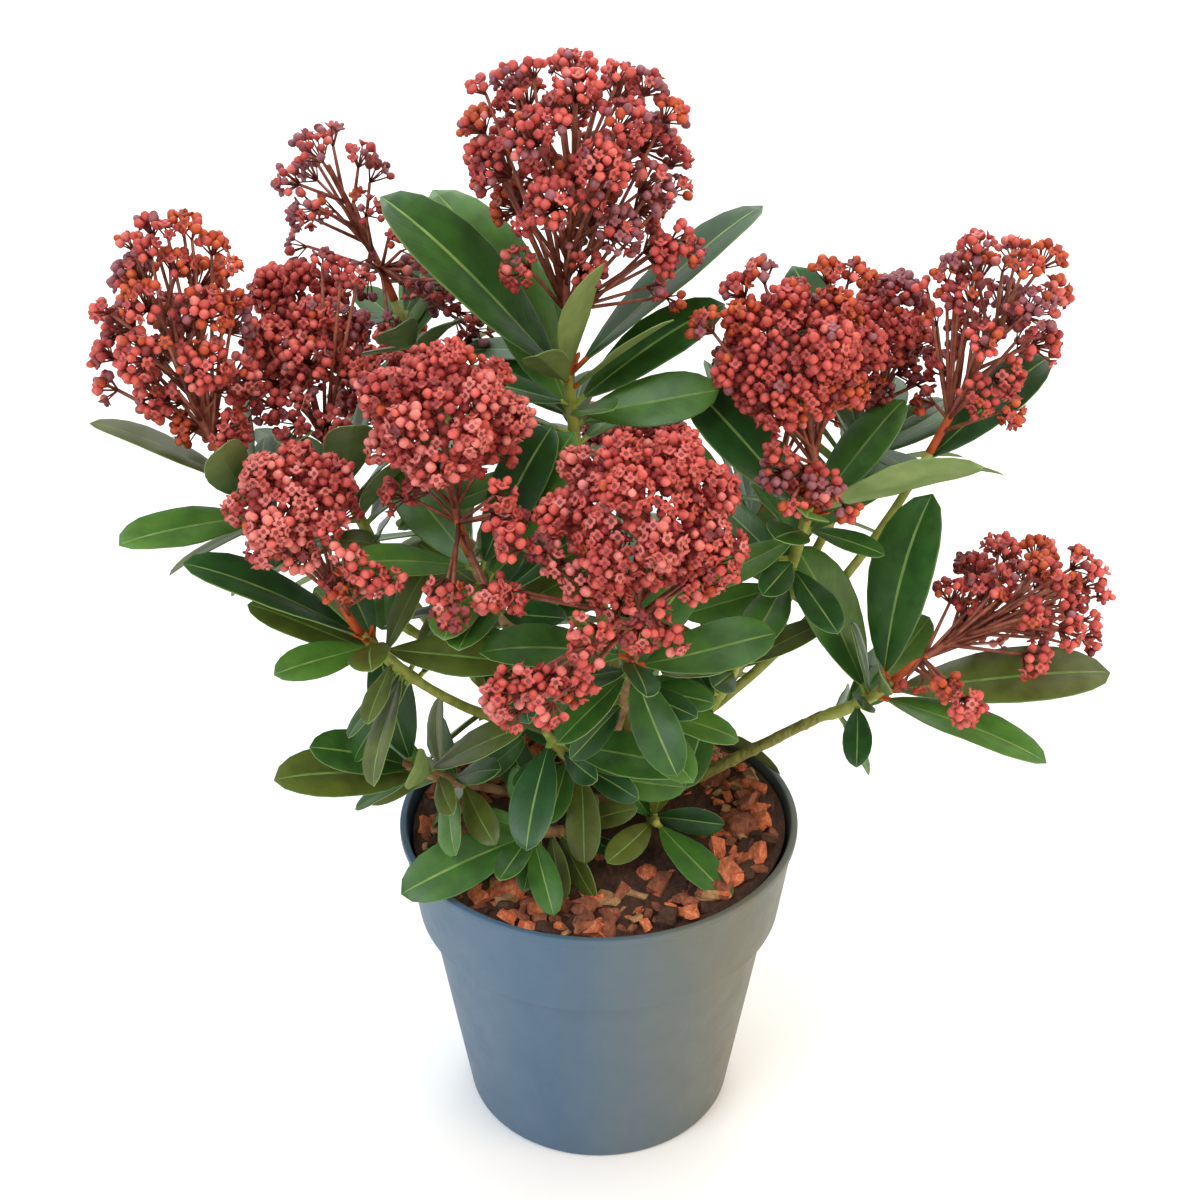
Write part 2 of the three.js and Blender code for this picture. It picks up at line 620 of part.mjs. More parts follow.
function addMesh(name, solid, colour, roughness) {
  const material = new THREE.MeshStandardMaterial({ color: colour, roughness, metalness: 0 });
  const mesh = new THREE.Mesh(toGeometry(solid), material);
  mesh.name = name;
  root.add(mesh);
}

growLimbs();
const clusters = [];
const blades = [];
shoots.filter((shoot) => shoot.dense).forEach((shoot) => addCore(shoot, clusters));
shoots.forEach((shoot) => growLeads(shoot, blades, clusters));
shoots.forEach((shoot, index) => {
  if (shoot.head) growHead(shoot, index, clusters, blades);
});
shoots.forEach((shoot, index) => growWhorl(shoot, index, blades, clusters));

// Each limb is cut clear of the limbs made before it, so that a child starts just off its parent.
const grownLimbs = [];

function limbSolid(limb) {
  let solid = toSolid(limbGeometry(limb, 0));
  for (const earlier of grownLimbs) {
    if (earlier.intersect(solid).volume() > 0) solid = solid.subtract(earlier);
  }
  grownLimbs.push(toSolid(limbGeometry(limb, clearance)));
  return largestBody(solid);
}

// The trunk's foot is cut off level, just above the growing medium.
function cutLevel(solid) {
  const size = 8 * trunk.flare;
  const below = new THREE.BoxGeometry(size, size, size);
  below.translate(trunk.foot[0], trunk.foot[1], soil.top + clearance - size / 2);
  return solid.subtract(toSolid(below));
}

const limbSolids = new Map([...limbs.values()].map((limb) => [limb.name, limbSolid(limb)]));

addMesh("pot", makePot(), colours.pot, 0.5);
addMesh("growing_medium", makeSoil(), colours.soil, 0.95);
addMesh("trunk", cutLevel(limbSolids.get("trunk")), colours.wood, 0.85);
for (const b of boughs) addMesh(b.name, limbSolids.get(b.name), colours.wood, 0.8);

for (const shoot of shoots) {
  const owner = "leaves_" + shoot.name;
  const own = blades.filter((blade) => blade.owner === owner);
  const mass = joinAll([limbSolids.get(owner), ...own.map((blade) => toSolid(leafGeometry(blade)))]);
  addMesh(owner, mass, colours.leaf, 0.45);
}

// A thin three-sided branch that runs to a point in the middle of its cluster.
function branchSolid(start, end) {
  const length = start.distanceTo(end);
  const cone = new THREE.ConeGeometry(panicle.branchRadius, length, 3).translate(0, length / 2, 0);
  const direction = end.clone().sub(start).divideScalar(length);
  cone.applyQuaternion(new THREE.Quaternion().setFromUnitVectors(new THREE.Vector3(0, 1, 0), direction));
  return toSolid(cone.translate(start.x, start.y, start.z));
}

// A faceted ball on its branch, with one of its faces turned to the branch.
function clusterSolid({ centre, radius, root }) {
  const faceMiddle = new THREE.Vector3(1, 1, 1).normalize();
  const toBranch = root.clone().sub(centre).normalize();
  const ball = new THREE.IcosahedronGeometry(radius, 0);
  ball.applyQuaternion(new THREE.Quaternion().setFromUnitVectors(faceMiddle, toBranch));
  ball.scale(1, 1, panicle.squash).translate(centre.x, centre.y, centre.z);
  return branchSolid(root, centre).add(toSolid(ball));
}

// How far a ray from `start` runs before it leaves a cluster's ball, or 0 if it misses it.
function rayExit(start, direction, { centre, radius }) {
  const towards = centre.clone().sub(start);
  const middle = towards.dot(direction);
  const inside = radius * radius - towards.lengthSq() + middle * middle;
  return inside > 0 ? middle + Math.sqrt(inside) : 0;
}

// A dense head: one ball pushed out along each ray from its centre to the last cluster the ray leaves.
function denseHeadSolid(centre, balls) {
  const ball = new THREE.IcosahedronGeometry(1, panicle.headDetail);
  const position = ball.attributes.position;
  const direction = new THREE.Vector3();
  for (let i = 0; i < position.count; i++) {
    direction.fromBufferAttribute(position, i).normalize();
    const surface = along(centre, direction, Math.max(...balls.map((b) => rayExit(centre, direction, b))));
    position.setXYZ(i, surface.x, surface.y, surface.z);
  }
  return toSolid(ball);
}

for (const shoot of shoots.filter((s) => s.head)) {
  const owner = "flowers_" + shoot.name;
  const own = clusters.filter((cluster) => cluster.owner === owner);
  const pressed = own.filter((cluster) => cluster.isPressed);
  const parts = own.filter((cluster) => !cluster.isPressed).map(clusterSolid);
  if (shoot.dense) parts.push(denseHeadSolid(vector(shoot.head), pressed));
  addMesh(owner, joinAll([limbSolids.get(owner), ...parts]), colours.flower, 0.6);
}

export default root;
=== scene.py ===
import json
import math

import bmesh
import bpy
import numpy as np
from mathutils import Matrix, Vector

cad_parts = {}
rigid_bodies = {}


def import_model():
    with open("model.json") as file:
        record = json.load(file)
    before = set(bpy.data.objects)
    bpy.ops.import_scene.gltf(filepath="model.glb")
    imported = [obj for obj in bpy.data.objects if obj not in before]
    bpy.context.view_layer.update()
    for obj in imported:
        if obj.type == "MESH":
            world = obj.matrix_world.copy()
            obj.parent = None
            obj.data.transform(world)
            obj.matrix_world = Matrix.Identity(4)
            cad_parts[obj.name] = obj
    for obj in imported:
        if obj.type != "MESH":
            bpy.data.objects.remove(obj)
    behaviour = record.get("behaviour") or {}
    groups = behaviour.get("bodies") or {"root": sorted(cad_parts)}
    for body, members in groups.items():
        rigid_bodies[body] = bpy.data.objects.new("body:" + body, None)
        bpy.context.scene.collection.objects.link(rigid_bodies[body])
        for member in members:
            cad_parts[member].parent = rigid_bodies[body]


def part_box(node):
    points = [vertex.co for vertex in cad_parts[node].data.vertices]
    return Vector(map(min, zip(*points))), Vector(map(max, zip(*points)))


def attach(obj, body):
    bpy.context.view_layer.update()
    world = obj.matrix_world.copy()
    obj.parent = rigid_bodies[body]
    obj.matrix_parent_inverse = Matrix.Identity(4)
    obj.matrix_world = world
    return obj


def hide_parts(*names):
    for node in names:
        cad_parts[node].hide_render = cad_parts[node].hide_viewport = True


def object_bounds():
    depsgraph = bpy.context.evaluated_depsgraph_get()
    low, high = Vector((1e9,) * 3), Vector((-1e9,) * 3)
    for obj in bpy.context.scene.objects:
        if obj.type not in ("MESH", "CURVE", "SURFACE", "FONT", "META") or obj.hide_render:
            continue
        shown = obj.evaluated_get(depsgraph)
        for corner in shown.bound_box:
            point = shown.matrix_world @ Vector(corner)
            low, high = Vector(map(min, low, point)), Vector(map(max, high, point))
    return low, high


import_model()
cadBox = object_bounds()
mm = 0.001  # the growth rule and the sizes below are in millimetres, the meshes in metres
goldenAngle = 137.5
view = {"eye": (0.0005, -0.6586, 0.6217), "pitch": 60.414, "lens": 56.62, "sensor": 36}


def srgb(code):
    channels = [int(code[i:i + 2], 16) / 255 for i in (1, 3, 5)]
    return [c / 12.92 if c <= 0.04045 else ((c + 0.055) / 1.055) ** 2.4 for c in channels] + [1.0]


def addObject(name, data):
    made = bpy.data.objects.new(name, data)
    bpy.context.scene.collection.objects.link(made)
    return made


# Small seeded numbers: one run of them for each shoot, so a shoot can change without its neighbours
draws = {"factor": 1664525, "step": 1013904223, "range": 2 ** 32}
seeds = {"heads": 900, "whorls": 300, "filler": 600, "leaves": 4100, "bark": 4200, "buds": 5000, "medium": 71,
         "chips": 80}


def seededRandom(seed):
    state = [seed]

    def draw():
        state[0] = (state[0] * draws["factor"] + draws["step"]) % draws["range"]
        return state[0] / draws["range"]

    draw()
    draw()
    return draw


def between(pair, share):
    return pair[0] + (pair[1] - pair[0]) * share


def spread(amount, share):
    return amount * (2 * share - 1)


def unit(v):
    return v / np.linalg.norm(v)


def point(values):
    return np.array(values, dtype=float)


def sidesOf(axis):
    # two directions square to the axis and to each other
    reference = point((0, 1, 0)) if abs(axis[0]) > 0.8 else point((1, 0, 0))
    first = unit(np.cross(reference, axis))
    return first, np.cross(axis, first)


def leaning(axis, turn, tilt):
    # the way out at this turn round the axis, tilted away from it
    first, second = sidesOf(axis)
    outwards = first * math.cos(turn) + second * math.sin(turn)
    return outwards * math.sin(tilt) + axis * math.cos(tilt)


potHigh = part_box("pot")[1]
potTop = potHigh.z / mm
rimRadius = potHigh.x / mm
soilTop = 132

trunk = {"foot": (20, 18, soilTop - 3), "fork": (17, 13, 161), "flare": 9.5, "radii": (6.2, 4.8)}

boughs = [  # name, parent, how far up it they start, where they end, how much they bow, radii
    ("bough_upright", "trunk", 0.97, (0, 10, 246), 0.1, (3.6, 2.6)),
    ("bough_left", "trunk", 0.86, (-58, -4, 226), 0.16, (3.4, 2.4)),
    ("bough_front", "trunk", 0.72, (0, -20, 202), 0.14, (3.2, 2.4)),
    ("bough_right", "trunk", 0.92, (66, 8, 230), 0.14, (3.4, 2.4)),
    ("bough_low_right", "trunk", 0.2, (92, -8, 198), 0, (2.9, 2.1)),
    ("bough_rear", "trunk", 0.62, (12, 56, 196), 0.14, (3.0, 2.3)),
]

shootKeys = ("name", "parent", "at", "node", "phase", "leaves", "leafLength")
shootTable = [  # name, parent, how far up it, node, first turn, leaves the rule adds, their length
    ("top", "bough_upright", 0.98, (-12, 8, 349), 215, 4, 70),
    ("left_rear", "bough_upright", 0.66, (-82, 60, 352), 20, 4, 60),
    ("left_outer", "bough_left", 0.97, (-139, -8, 307), 300, 2, 60),
    ("left_inner", "bough_left", 0.72, (-103, 12, 298), 80, 6, 64),
    ("centre", "bough_front", 0.98, (-48, -40, 290), 100, 5, 62),
    ("left_front", "bough_left", 0.46, (-89, -50, 262), 330, 0, 60),
    ("front", "bough_front", 0.74, (13, -60, 262), 300, 0, 60),
    ("right_inner", "bough_right", 0.97, (82, -8, 297), 10, 3, 62),
    ("right_rear", "bough_right", 0.7, (109, 32, 308), 60, 3, 60),
    ("right_outer", "bough_right", 0.42, (130, 15, 306), 60, 2, 60),
    ("right_low", "bough_low_right", 0.98, (118, -18, 221), 250, 2, 54),
    ("rear_left", "bough_rear", 0.96, (-70, 78, 247), 130, 9, 72),
    ("rear_right", "bough_rear", 0.8, (70, 76, 246), 250, 9, 72),
    ("rear_low", "bough_rear", 0.6, (8, 94, 214), 300, 9, 70),
    ("mid_right", "bough_right", 0.3, (58, -14, 234), 0, 0, 50),
    ("low_left", "trunk", 0.3, (-79, -34, 192), 10, 3, 50),
    ("low_front", "trunk", 0.5, (-21, -38, 210), 200, 3, 50),
    ("low_near", "trunk", 0.12, (-30, -42, 164), 60, 2, 44),
    ("low_right", "trunk", 0.34, (24, -20, 152), 330, 2, 50),
    ("low_rear", "trunk", 0.25, (52, 62, 190), 145, 7, 58),
    ("low_rear_left", "trunk", 0.4, (-44, 58, 194), 70, 7, 58),
]
# Leaves that stand out most: [turn, rise, distance, roll] of the tip from the node, and how far below the
# node the leaf is rooted where it isn't in the usual order
leadTable = {
    "top": [[28, 35, 95, -12], [182, 48, 90, -25], [143, 45, 82, -10], [252, 66, 46, 0],
        [352, 21, 61, 35], [335, -8, 57, 45]],
    "left_rear": [[190, -14, 40, -10]],
    "left_outer": [[182, 31, 56, 4], [231, -2, 54, -20, 20]],
    "left_inner": [[290, 50, 54, 0]],
    "centre": [[207, 17, 50, -15], [20, 58, 56, 30], [262, -6, 46, 0]],
    "left_front": [[187, 34, 70, 3], [219, -2, 36, -30], [344, 0, 60, 20], [164, 32, 65, -10]],
    "front": [[200, 14, 58, -25], [297, -47, 49, 20], [348, 2, 54, 25], [238, -38, 44, 0]],
    "right_inner": [[155, 40, 66, -25], [32, 43, 52, 10], [335, -27, 34, 10], [202, -28, 54, -15]],
    "right_rear": [[318, 0, 42, 0], [134, 57, 72, 0]],
    "right_outer": [[21, 37, 60, 25]],
    "right_low": [[65, 81, 77, 5], [3, 6, 87, 12], [332, -10, 66, 5], [143, 47, 65, -12],
        [198, 33, 74, -25], [240, -28, 39, 0]],
    "mid_right": [[232, 20, 54, -10]],
    "low_left": [[119, 74, 45, -20], [213, 32, 42, -40], [223, 15, 51, -30, 17], [346, 30, 56, 20]],
    "low_front": [[258, -36, 47, 0], [336, 3, 60, 20]],
    "low_near": [[293, -30, 36, 10], [207, -11, 54, -40]],
    "low_right": [[319, -10, 46, 0], [232, 2, 31, -30]],
}
moreLeads = {  # smaller ones between the rule's own
    "top": [[304, 64, 53, 30]],
    "left_front": [[166, 14, 44, -10, 18]],
    "right_rear": [[14, 23, 32, 10]],
    "right_inner": [[2, 25, 67, -45]],
    "mid_right": [[83, 18, 24, 10]],
    "low_left": [[190, 85, 46, -95]],
    "low_near": [[253, 0, 29, 0]],
}
headKeys = ("head", "reach", "clusters", "clusterRadius", "dense", "lobes")
# Heads: centre, reach across and up, clusters, their radius, whether they're pressed into one dense ball, and
# side lobes (x, y, z, reach, clusters)
headTable = {
    "top": ((-8, 20, 418), (43, 46), 19, 10.4, False, [(26, 8, 390, 14, 3)]),
    "left_rear": ((-101, 55, 401), (27, 28), 9, 8.4, False, [(-60, 50, 368, 18, 4)]),
    "left_outer": ((-161, 0, 366), (33, 43), 15, 9.8, False, [(-151, -10, 331, 14, 3)]),
    "left_inner": ((-114, 25, 347), (29, 37), 16, 9, True, []),
    "centre": ((-55, -45, 347), (35, 34), 22, 9.4, True, [(-31, -44, 307, 9, 1), (-48, -84, 296, 14, 3)]),
    "left_front": ((-107, -50, 312), (28, 28), 17, 8.6, True, [(-90, -64, 288, 8, 1)]),
    "front": ((15, -65, 322), (38, 37), 24, 9.8, True, [(11, -94, 290, 15, 3), (-19, -102, 267, 17, 4)]),
    "right_inner": ((71, 0, 354), (37, 36), 20, 9.6, True, [(80, -26, 316, 12, 3)]),
    "right_rear": ((113, 40, 352), (26, 28), 13, 8.6, True, []),
    "right_outer": ((155, 25, 357), (31, 41), 14, 9.4, False, [(151, 2, 332, 13, 3)]),
    "right_low": ((172, 0, 247), (40, 30), 18, 8.2, False, [(139, -46, 234, 12, 3)]),
    "rear_left": ((-86, 95, 301), (32, 31), 16, 9.8, True, []),
    "rear_right": ((84, 94, 300), (32, 31), 16, 9.8, True, []),
    "rear_low": ((16, 118, 262), (30, 29), 15, 9.6, True, []),
}
shoots = [dict(zip(shootKeys, row)) for row in shootTable]
for s in shoots:
    s["leads"] = leadTable.get(s["name"], [])
    s.update(zip(headKeys, headTable.get(s["name"], ())))

limbRule = {"step": 4, "stemRadii": (2.3, 1.7), "stemSweep": 0.12}
leafRule = {
    "firstBelow": 6.5, "leadSpacing": 2.8, "spacing": 4.4, "tilts": (42, 92), "tiltJitter": 9,
    "turnJitter": 14, "rollJitter": 16, "lengthShare": (0.82, 1.12), "widthShare": 0.37,
    "outlineAt": (0, 0.3, 0.72, 1), "outline": (0, 0.86, 0.88, 0), "middle": 0.55, "halfSpan": 0.62,
    "droop": (0.02, 0.14), "leadDroop": 0.07, "fold": 0.12, "stalkHalfWidth": 1.2,
    "leadTurns": (8, -8, 16, -16, 24, -24), "turns": (0, 20, -20, 40, -40, 60, -60, 80, -80),
}
panicleRule = {
    "stalkRadii": (1.8, 1.2), "branchRadius": 1.3, "tipShare": 0.3, "rise": 0.36, "rootShares": (0.34, 0.92),
    "lobeRoot": 0.2, "lobeStep": 0.05, "lowestCosine": -0.72, "depthShare": (0.88, 0.98), "coreInset": 0.9,
    "turnJitter": 12, "sizes": (0.86, 1.1), "lobeSizes": (0.78, 0.92), "firstStep": 0.4, "lobeInset": 0.6,
    "lobeLeast": 0.8,
}
keepApart = {  # clear air between the pieces
    "leafFromLeaf": 7, "leafFromOwnLeaf": 3.4, "leafFromCluster": 2.8, "leafFromLimb": 2.6,
    "leafFromSoil": 6, "leafPastPot": 7, "leafFromRim": 9, "leafAboveRim": 5,
    "clusterFromCluster": 1.2, "clusterFromLimb": 2.2, "ownClusters": 0.8,
}
# The same spiral carried on with smaller leaves, set closer than the solids can have them
filler = {
    "tries": 13, "lengthShare": (0.5, 0.86), "firstBelow": 8.5, "spacing": 2.7, "tilts": (48, 98),
    "turn": 60, "turnJitter": 20, "rollJitter": 25, "lowestRoot": 0.08,
    "apart": {**keepApart, "leafFromLeaf": 2.8, "leafFromOwnLeaf": 2.2, "leafFromCluster": 1.6,
              "leafFromLimb": 1.6},
    "boxMargin": 2,  # inside the solids' box
}
openings = [  # x, z and radius: where sky or a bough shows between the shoots
    (76, 202, 15), (90, 214, 10), (106, 246, 7), (98, 261, 6), (107, 265, 3), (112, 229, 4),
    (116, 290, 6), (115, 270, 3), (110, 286, 4), (141, 293, 9), (158, 279, 9), (158, 318, 4),
    (141, 224, 4), (92, 189, 5), (105, 150, 11), (122, 155, 8), (123, 173, 5), (114, 133, 10),
    (96, 168, 7), (39, 150, 2.5), (119, 189, 5), (156, 310, 3), (57, 193, 4), (119, 294, 3),
    (-165, 297, 5), (-164, 251, 5), (-170, 306, 4), (-138, 239, 4), (-148, 243, 6), (-130, 214, 5),
    (-119, 199, 6), (-102, 209, 4), (-112, 189, 6), (-98, 138, 6), (-81, 131, 5), (-77, 188, 3),
    (-81, 220, 3), (-69, 209, 4), (-59, 202, 5),
]
eye = point(view["eye"]) / mm
sights = [(unit(point((x, 0, z)) - eye), radius) for x, z, radius in openings]
lowCorner = point(cadBox[0]) / mm + filler["boxMargin"]
highCorner = point(cadBox[1]) / mm - filler["boxMargin"]


def curvePoint(curve, t):
    start, control, end = curve
    return start * (1 - t) ** 2 + control * (2 * t * (1 - t)) + end * t * t


def curveTangent(curve, t):
    return unit(curvePoint(curve, min(t + 0.0001, 1)) - curvePoint(curve, max(t - 0.0001, 0)))


def bowedCurve(start, end, sweep):
    control = (start + end) / 2
    control = control + (end - start) * point((sweep, sweep, -sweep))
    return start, control, end


limbs = {}


def addLimb(name, curve, radii):
    span = float(np.linalg.norm(curve[2] - curve[0]))
    count = math.ceil(span / limbRule["step"])
    shares = np.arange(count + 1) / count
    limbs[name] = {
        "name": name, "curve": curve, "radii": radii, "span": span,
        "points": np.array([curvePoint(curve, t) for t in shares]),
        "pointRadii": radii[0] + (radii[1] - radii[0]) * shares,
    }


def growLimbs():
    addLimb("trunk", bowedCurve(point(trunk["foot"]), point(trunk["fork"]), 0), trunk["radii"])
    for name, parent, at, end, sweep, radii in boughs:
        addLimb(name, bowedCurve(curvePoint(limbs[parent]["curve"], at), point(end), sweep), radii)
    for s in shoots:
        start = curvePoint(limbs[s["parent"]]["curve"], s["at"])
        curve = bowedCurve(start, point(s["node"]), limbRule["stemSweep"])
        addLimb("leaves_" + s["name"], curve, limbRule["stemRadii"])
    for s in shoots:
        if "head" not in s:
            continue
        node = point(s["node"])
        centre = point(s["head"])
        towards = curveTangent(limbs["leaves_" + s["name"]]["curve"], 1)
        distance = np.linalg.norm(centre - node)
        control = node + towards * distance * panicleRule["rise"]
        end = centre + (centre - node) / distance * s["reach"][1] * panicleRule["tipShare"]
        addLimb("flowers_" + s["name"], (node, control, end), panicleRule["stalkRadii"])


def tooNear(points, others, limits):
    # limits: one distance for all the others, or one for each
    if len(points) == 0 or len(others) == 0:
        return False
    gaps = ((points[:, None, :] - others[None, :, :]) ** 2).sum(axis=2)
    return bool((gaps < np.square(limits)).any())


def limbsBut(owner):
    others = [limb for limb in limbs.values() if limb["name"] != owner]
    points = np.concatenate([limb["points"] for limb in others])
    return points, np.concatenate([limb["pointRadii"] for limb in others])


def branchPoints(start, end):
    count = math.ceil(np.linalg.norm(end - start) / limbRule["step"])
    if count == 0:
        return start[None, :]
    return start + (end - start) * (np.arange(count + 1) / count)[:, None]


clusters = []
blades = []


def placeCluster(centre, radius, root, owner, isPressed):
    # only where it and its branch have room
    samples = branchPoints(root, centre)
    branch = panicleRule["branchRadius"]
    apart = keepApart["clusterFromCluster"]
    here = centre[None, :]
    for c in clusters:
        isOwn = c["owner"] == owner
        if isOwn and c["isCore"]:
            continue
        gap = np.linalg.norm(c["centre"] - centre)
        if isOwn:
            if gap < (c["radius"] + radius) * keepApart["ownClusters"]:
                return
            continue
        if gap < c["radius"] + radius + apart:
            return
        if tooNear(samples, c["centre"][None, :], c["radius"] + branch + apart):
            return
        if tooNear(c["samples"], here, radius + branch + apart):
            return
    limbPoints, limbRadii = limbsBut(owner)
    if tooNear(here, limbPoints, limbRadii + radius + keepApart["clusterFromLimb"]):
        return
    if tooNear(samples, limbPoints, limbRadii + branch + keepApart["clusterFromLimb"]):
        return
    for blade in blades:
        if tooNear(blade["samples"], here, radius + keepApart["leafFromCluster"]):
            return
        if tooNear(blade["samples"], samples, branch + keepApart["leafFromLimb"]):
            return
    clusters.append({"centre": centre, "radius": radius, "root": root, "owner": owner, "samples": samples,
                     "isPressed": isPressed, "isCore": False})


def addCore(shoot):
    centre = point(shoot["head"])
    radius = min(shoot["reach"]) - shoot["clusterRadius"] * panicleRule["coreInset"]
    clusters.append({"centre": centre, "radius": radius, "root": centre, "owner": "flowers_" + shoot["name"],
                     "samples": np.zeros((0, 3)), "isPressed": True, "isCore": True})


def growHead(shoot, index):
    random = seededRandom(seeds["heads"] + index)
    owner = "flowers_" + shoot["name"]
    curve = limbs[owner]["curve"]
    centre = point(shoot["head"])
    axis = unit(centre - point(shoot["node"]))
    first, second = sidesOf(axis)
    lowest = panicleRule["lowestCosine"]
    for k in range(shoot["clusters"]):
        cosine = 1 - (1 - lowest) * (k + panicleRule["firstStep"]) / shoot["clusters"]
        sine = math.sqrt(1 - cosine * cosine)
        turn = math.radians(shoot["phase"] + goldenAngle * k + spread(panicleRule["turnJitter"], random()))
        depth = between(panicleRule["depthShare"], random())
        radius = shoot["clusterRadius"] * between(panicleRule["sizes"], random())
        wide = (shoot["reach"][0] - radius) * depth * sine
        tall = (shoot["reach"][1] - radius) * depth * cosine
        place = centre + axis * tall + first * wide * math.cos(turn) + second * wide * math.sin(turn)
        root = curvePoint(curve, between(panicleRule["rootShares"], (cosine + 1) / 2))
        placeCluster(place, radius, place if shoot["dense"] else root, owner, shoot["dense"])
    for x, y, z, reach, count in shoot["lobes"]:
        for k in range(count):
            turn = math.radians(shoot["phase"] + 360 * k / count)
            radius = shoot["clusterRadius"] * between(panicleRule["lobeSizes"], random())
            out = max(reach - radius * panicleRule["lobeInset"], radius * panicleRule["lobeLeast"])
            out = out if count > 1 else 0  # one cluster alone sits in the middle
            place = point((x, y, z)) + first * out * math.cos(turn) + second * out * math.sin(turn)
            root = curvePoint(curve, panicleRule["lobeRoot"] + panicleRule["lobeStep"] * k)
            placeCluster(place, radius, root, owner, False)


# where a blade is tested for room: shares of its length and of its half width
samplesAlong = point((0.16, 0.24, 0.32, 0.4, 0.48, 0.56, 0.64, 0.72, 0.8, 0.87, 0.94, 1))
samplesAcross = point((-0.95, -0.48, 0, 0.48, 0.95))


def ruleHalfWidth(length, t):
    outline = np.interp(t, leafRule["outlineAt"], leafRule["outline"])
    return np.maximum(outline * length * leafRule["widthShare"] / 2, leafRule["stalkHalfWidth"] * (1 - t))


def bladeSamples(blade):
    t = np.repeat(samplesAlong, len(samplesAcross))[:, None]
    across = np.tile(samplesAcross, len(samplesAlong))[:, None]
    half = ruleHalfWidth(blade["length"], t)
    lift = leafRule["fold"] * np.abs(across) * half - blade["droop"] * blade["length"] * t * t
    return blade["root"] + blade["direction"] * blade["length"] * t + blade["face"] * lift \
        + blade["side"] * across * half


def leafFits(samples, owner, apart):
    fromAxis = np.hypot(samples[:, 0], samples[:, 1])
    height = samples[:, 2]
    isOverPot = fromAxis < rimRadius + apart["leafPastPot"]
    isOverRim = np.abs(fromAxis - rimRadius) < apart["leafFromRim"]
    if (isOverPot & (height < soilTop + apart["leafFromSoil"])).any():
        return False
    if (isOverRim & (height < potTop + apart["leafAboveRim"])).any():
        return False
    centres = np.array([c["centre"] for c in clusters])
    radii = np.array([c["radius"] for c in clusters])
    if tooNear(samples, centres, radii + apart["leafFromCluster"]):
        return False
    branches = np.concatenate([c["samples"] for c in clusters])
    if tooNear(samples, branches, panicleRule["branchRadius"] + apart["leafFromLimb"]):
        return False
    limbPoints, limbRadii = limbsBut(owner)
    if tooNear(samples, limbPoints, limbRadii + apart["leafFromLimb"]):
        return False
    for other in blades:
        limit = apart["leafFromOwnLeaf"] if other["owner"] == owner else apart["leafFromLeaf"]
        far = other["length"] * leafRule["halfSpan"] + limit
        close = samples[((samples - other["middle"]) ** 2).sum(axis=1) < far * far]
        if tooNear(close, other["samples"], limit):
            return False
    return True


def layLeaf(owner, root, direction, up, roll, length, droop, apart, isAllowed=None):
    # true if it found room
    flatSide = unit(np.cross(direction, up))
    flatFace = np.cross(flatSide, direction)
    face = flatFace * math.cos(roll) + flatSide * math.sin(roll)
    blade = {"owner": owner, "root": root, "direction": direction, "face": face,
             "side": np.cross(direction, face), "length": length, "droop": droop}
    blade["samples"] = bladeSamples(blade)
    half = leafRule["middle"]
    blade["middle"] = root + direction * length * half - face * droop * length * half ** 2
    if isAllowed and not isAllowed(blade["samples"]):
        return False
    if not leafFits(blade["samples"], owner, apart):
        return False
    blades.append(blade)
    return True


def layLead(owner, root, node, turn, rise, distance, roll, apart):
    across, up = math.radians(turn), math.radians(rise)
    aim = point((math.cos(up) * math.cos(across), math.cos(up) * math.sin(across), math.sin(up)))
    reach = point(node) + aim * distance - root
    length = float(np.linalg.norm(reach))
    return layLeaf(owner, root, reach / length, point((0, 0, 1)), math.radians(roll), length,
                   leafRule["leadDroop"], apart)


def growLeads(shoot, leads, apart):
    # where set, then set closer, then turned a little
    owner = "leaves_" + shoot["name"]
    limb = limbs[owner]
    tries = [(0, apart), (0, filler["apart"])] + [(shift, apart) for shift in leafRule["leadTurns"]]
    for k, (turn, rise, distance, roll, *lower) in enumerate(leads):
        below = lower[0] if lower else leafRule["firstBelow"] + leafRule["leadSpacing"] * k
        root = curvePoint(limb["curve"], 1 - below / limb["span"])
        if not any(layLead(owner, root, shoot["node"], turn + shift, rise, distance, roll, gaps)
                   for shift, gaps in tries):
            print(f"{owner}: no room for the leaf towards {turn}, {rise}")


def layAround(owner, height, tilt, turn, roll, length, droop, apart, isAllowed):
    # at the first turn with room for it
    curve = limbs[owner]["curve"]
    root = curvePoint(curve, height)
    axis = curveTangent(curve, height)
    for shift in leafRule["turns"]:
        direction = leaning(axis, math.radians(turn + shift), math.radians(tilt))
        if layLeaf(owner, root, direction, axis, math.radians(roll), length, droop, apart, isAllowed):
            return


def staysOpen(samples):
    away = samples - eye
    for sight, radius in sights:
        aside = away - (away @ sight)[:, None] * sight
        if (np.linalg.norm(aside, axis=1) < radius).any():
            return False
    return True


def staysOpenAndInside(samples):
    return (samples > lowCorner).all() and (samples < highCorner).all() and staysOpen(samples)


def growWhorl(shoot, index):
    random = seededRandom(seeds["whorls"] + index)
    owner = "leaves_" + shoot["name"]
    top = leafRule["firstBelow"] + leafRule["leadSpacing"] * len(shoot["leads"])
    for k in range(shoot["leaves"]):
        height = 1 - (top + leafRule["spacing"] * k) / limbs[owner]["span"]
        share = k / (shoot["leaves"] - 1)
        tilt = between(leafRule["tilts"], share) + spread(leafRule["tiltJitter"], random())
        turn = shoot["phase"] + goldenAngle * k + spread(leafRule["turnJitter"], random())
        roll = spread(leafRule["rollJitter"], random())
        length = shoot["leafLength"] * between(leafRule["lengthShare"], random())
        droop = between(leafRule["droop"], random())
        layAround(owner, height, tilt, turn, roll, length, droop, keepApart, staysOpen)


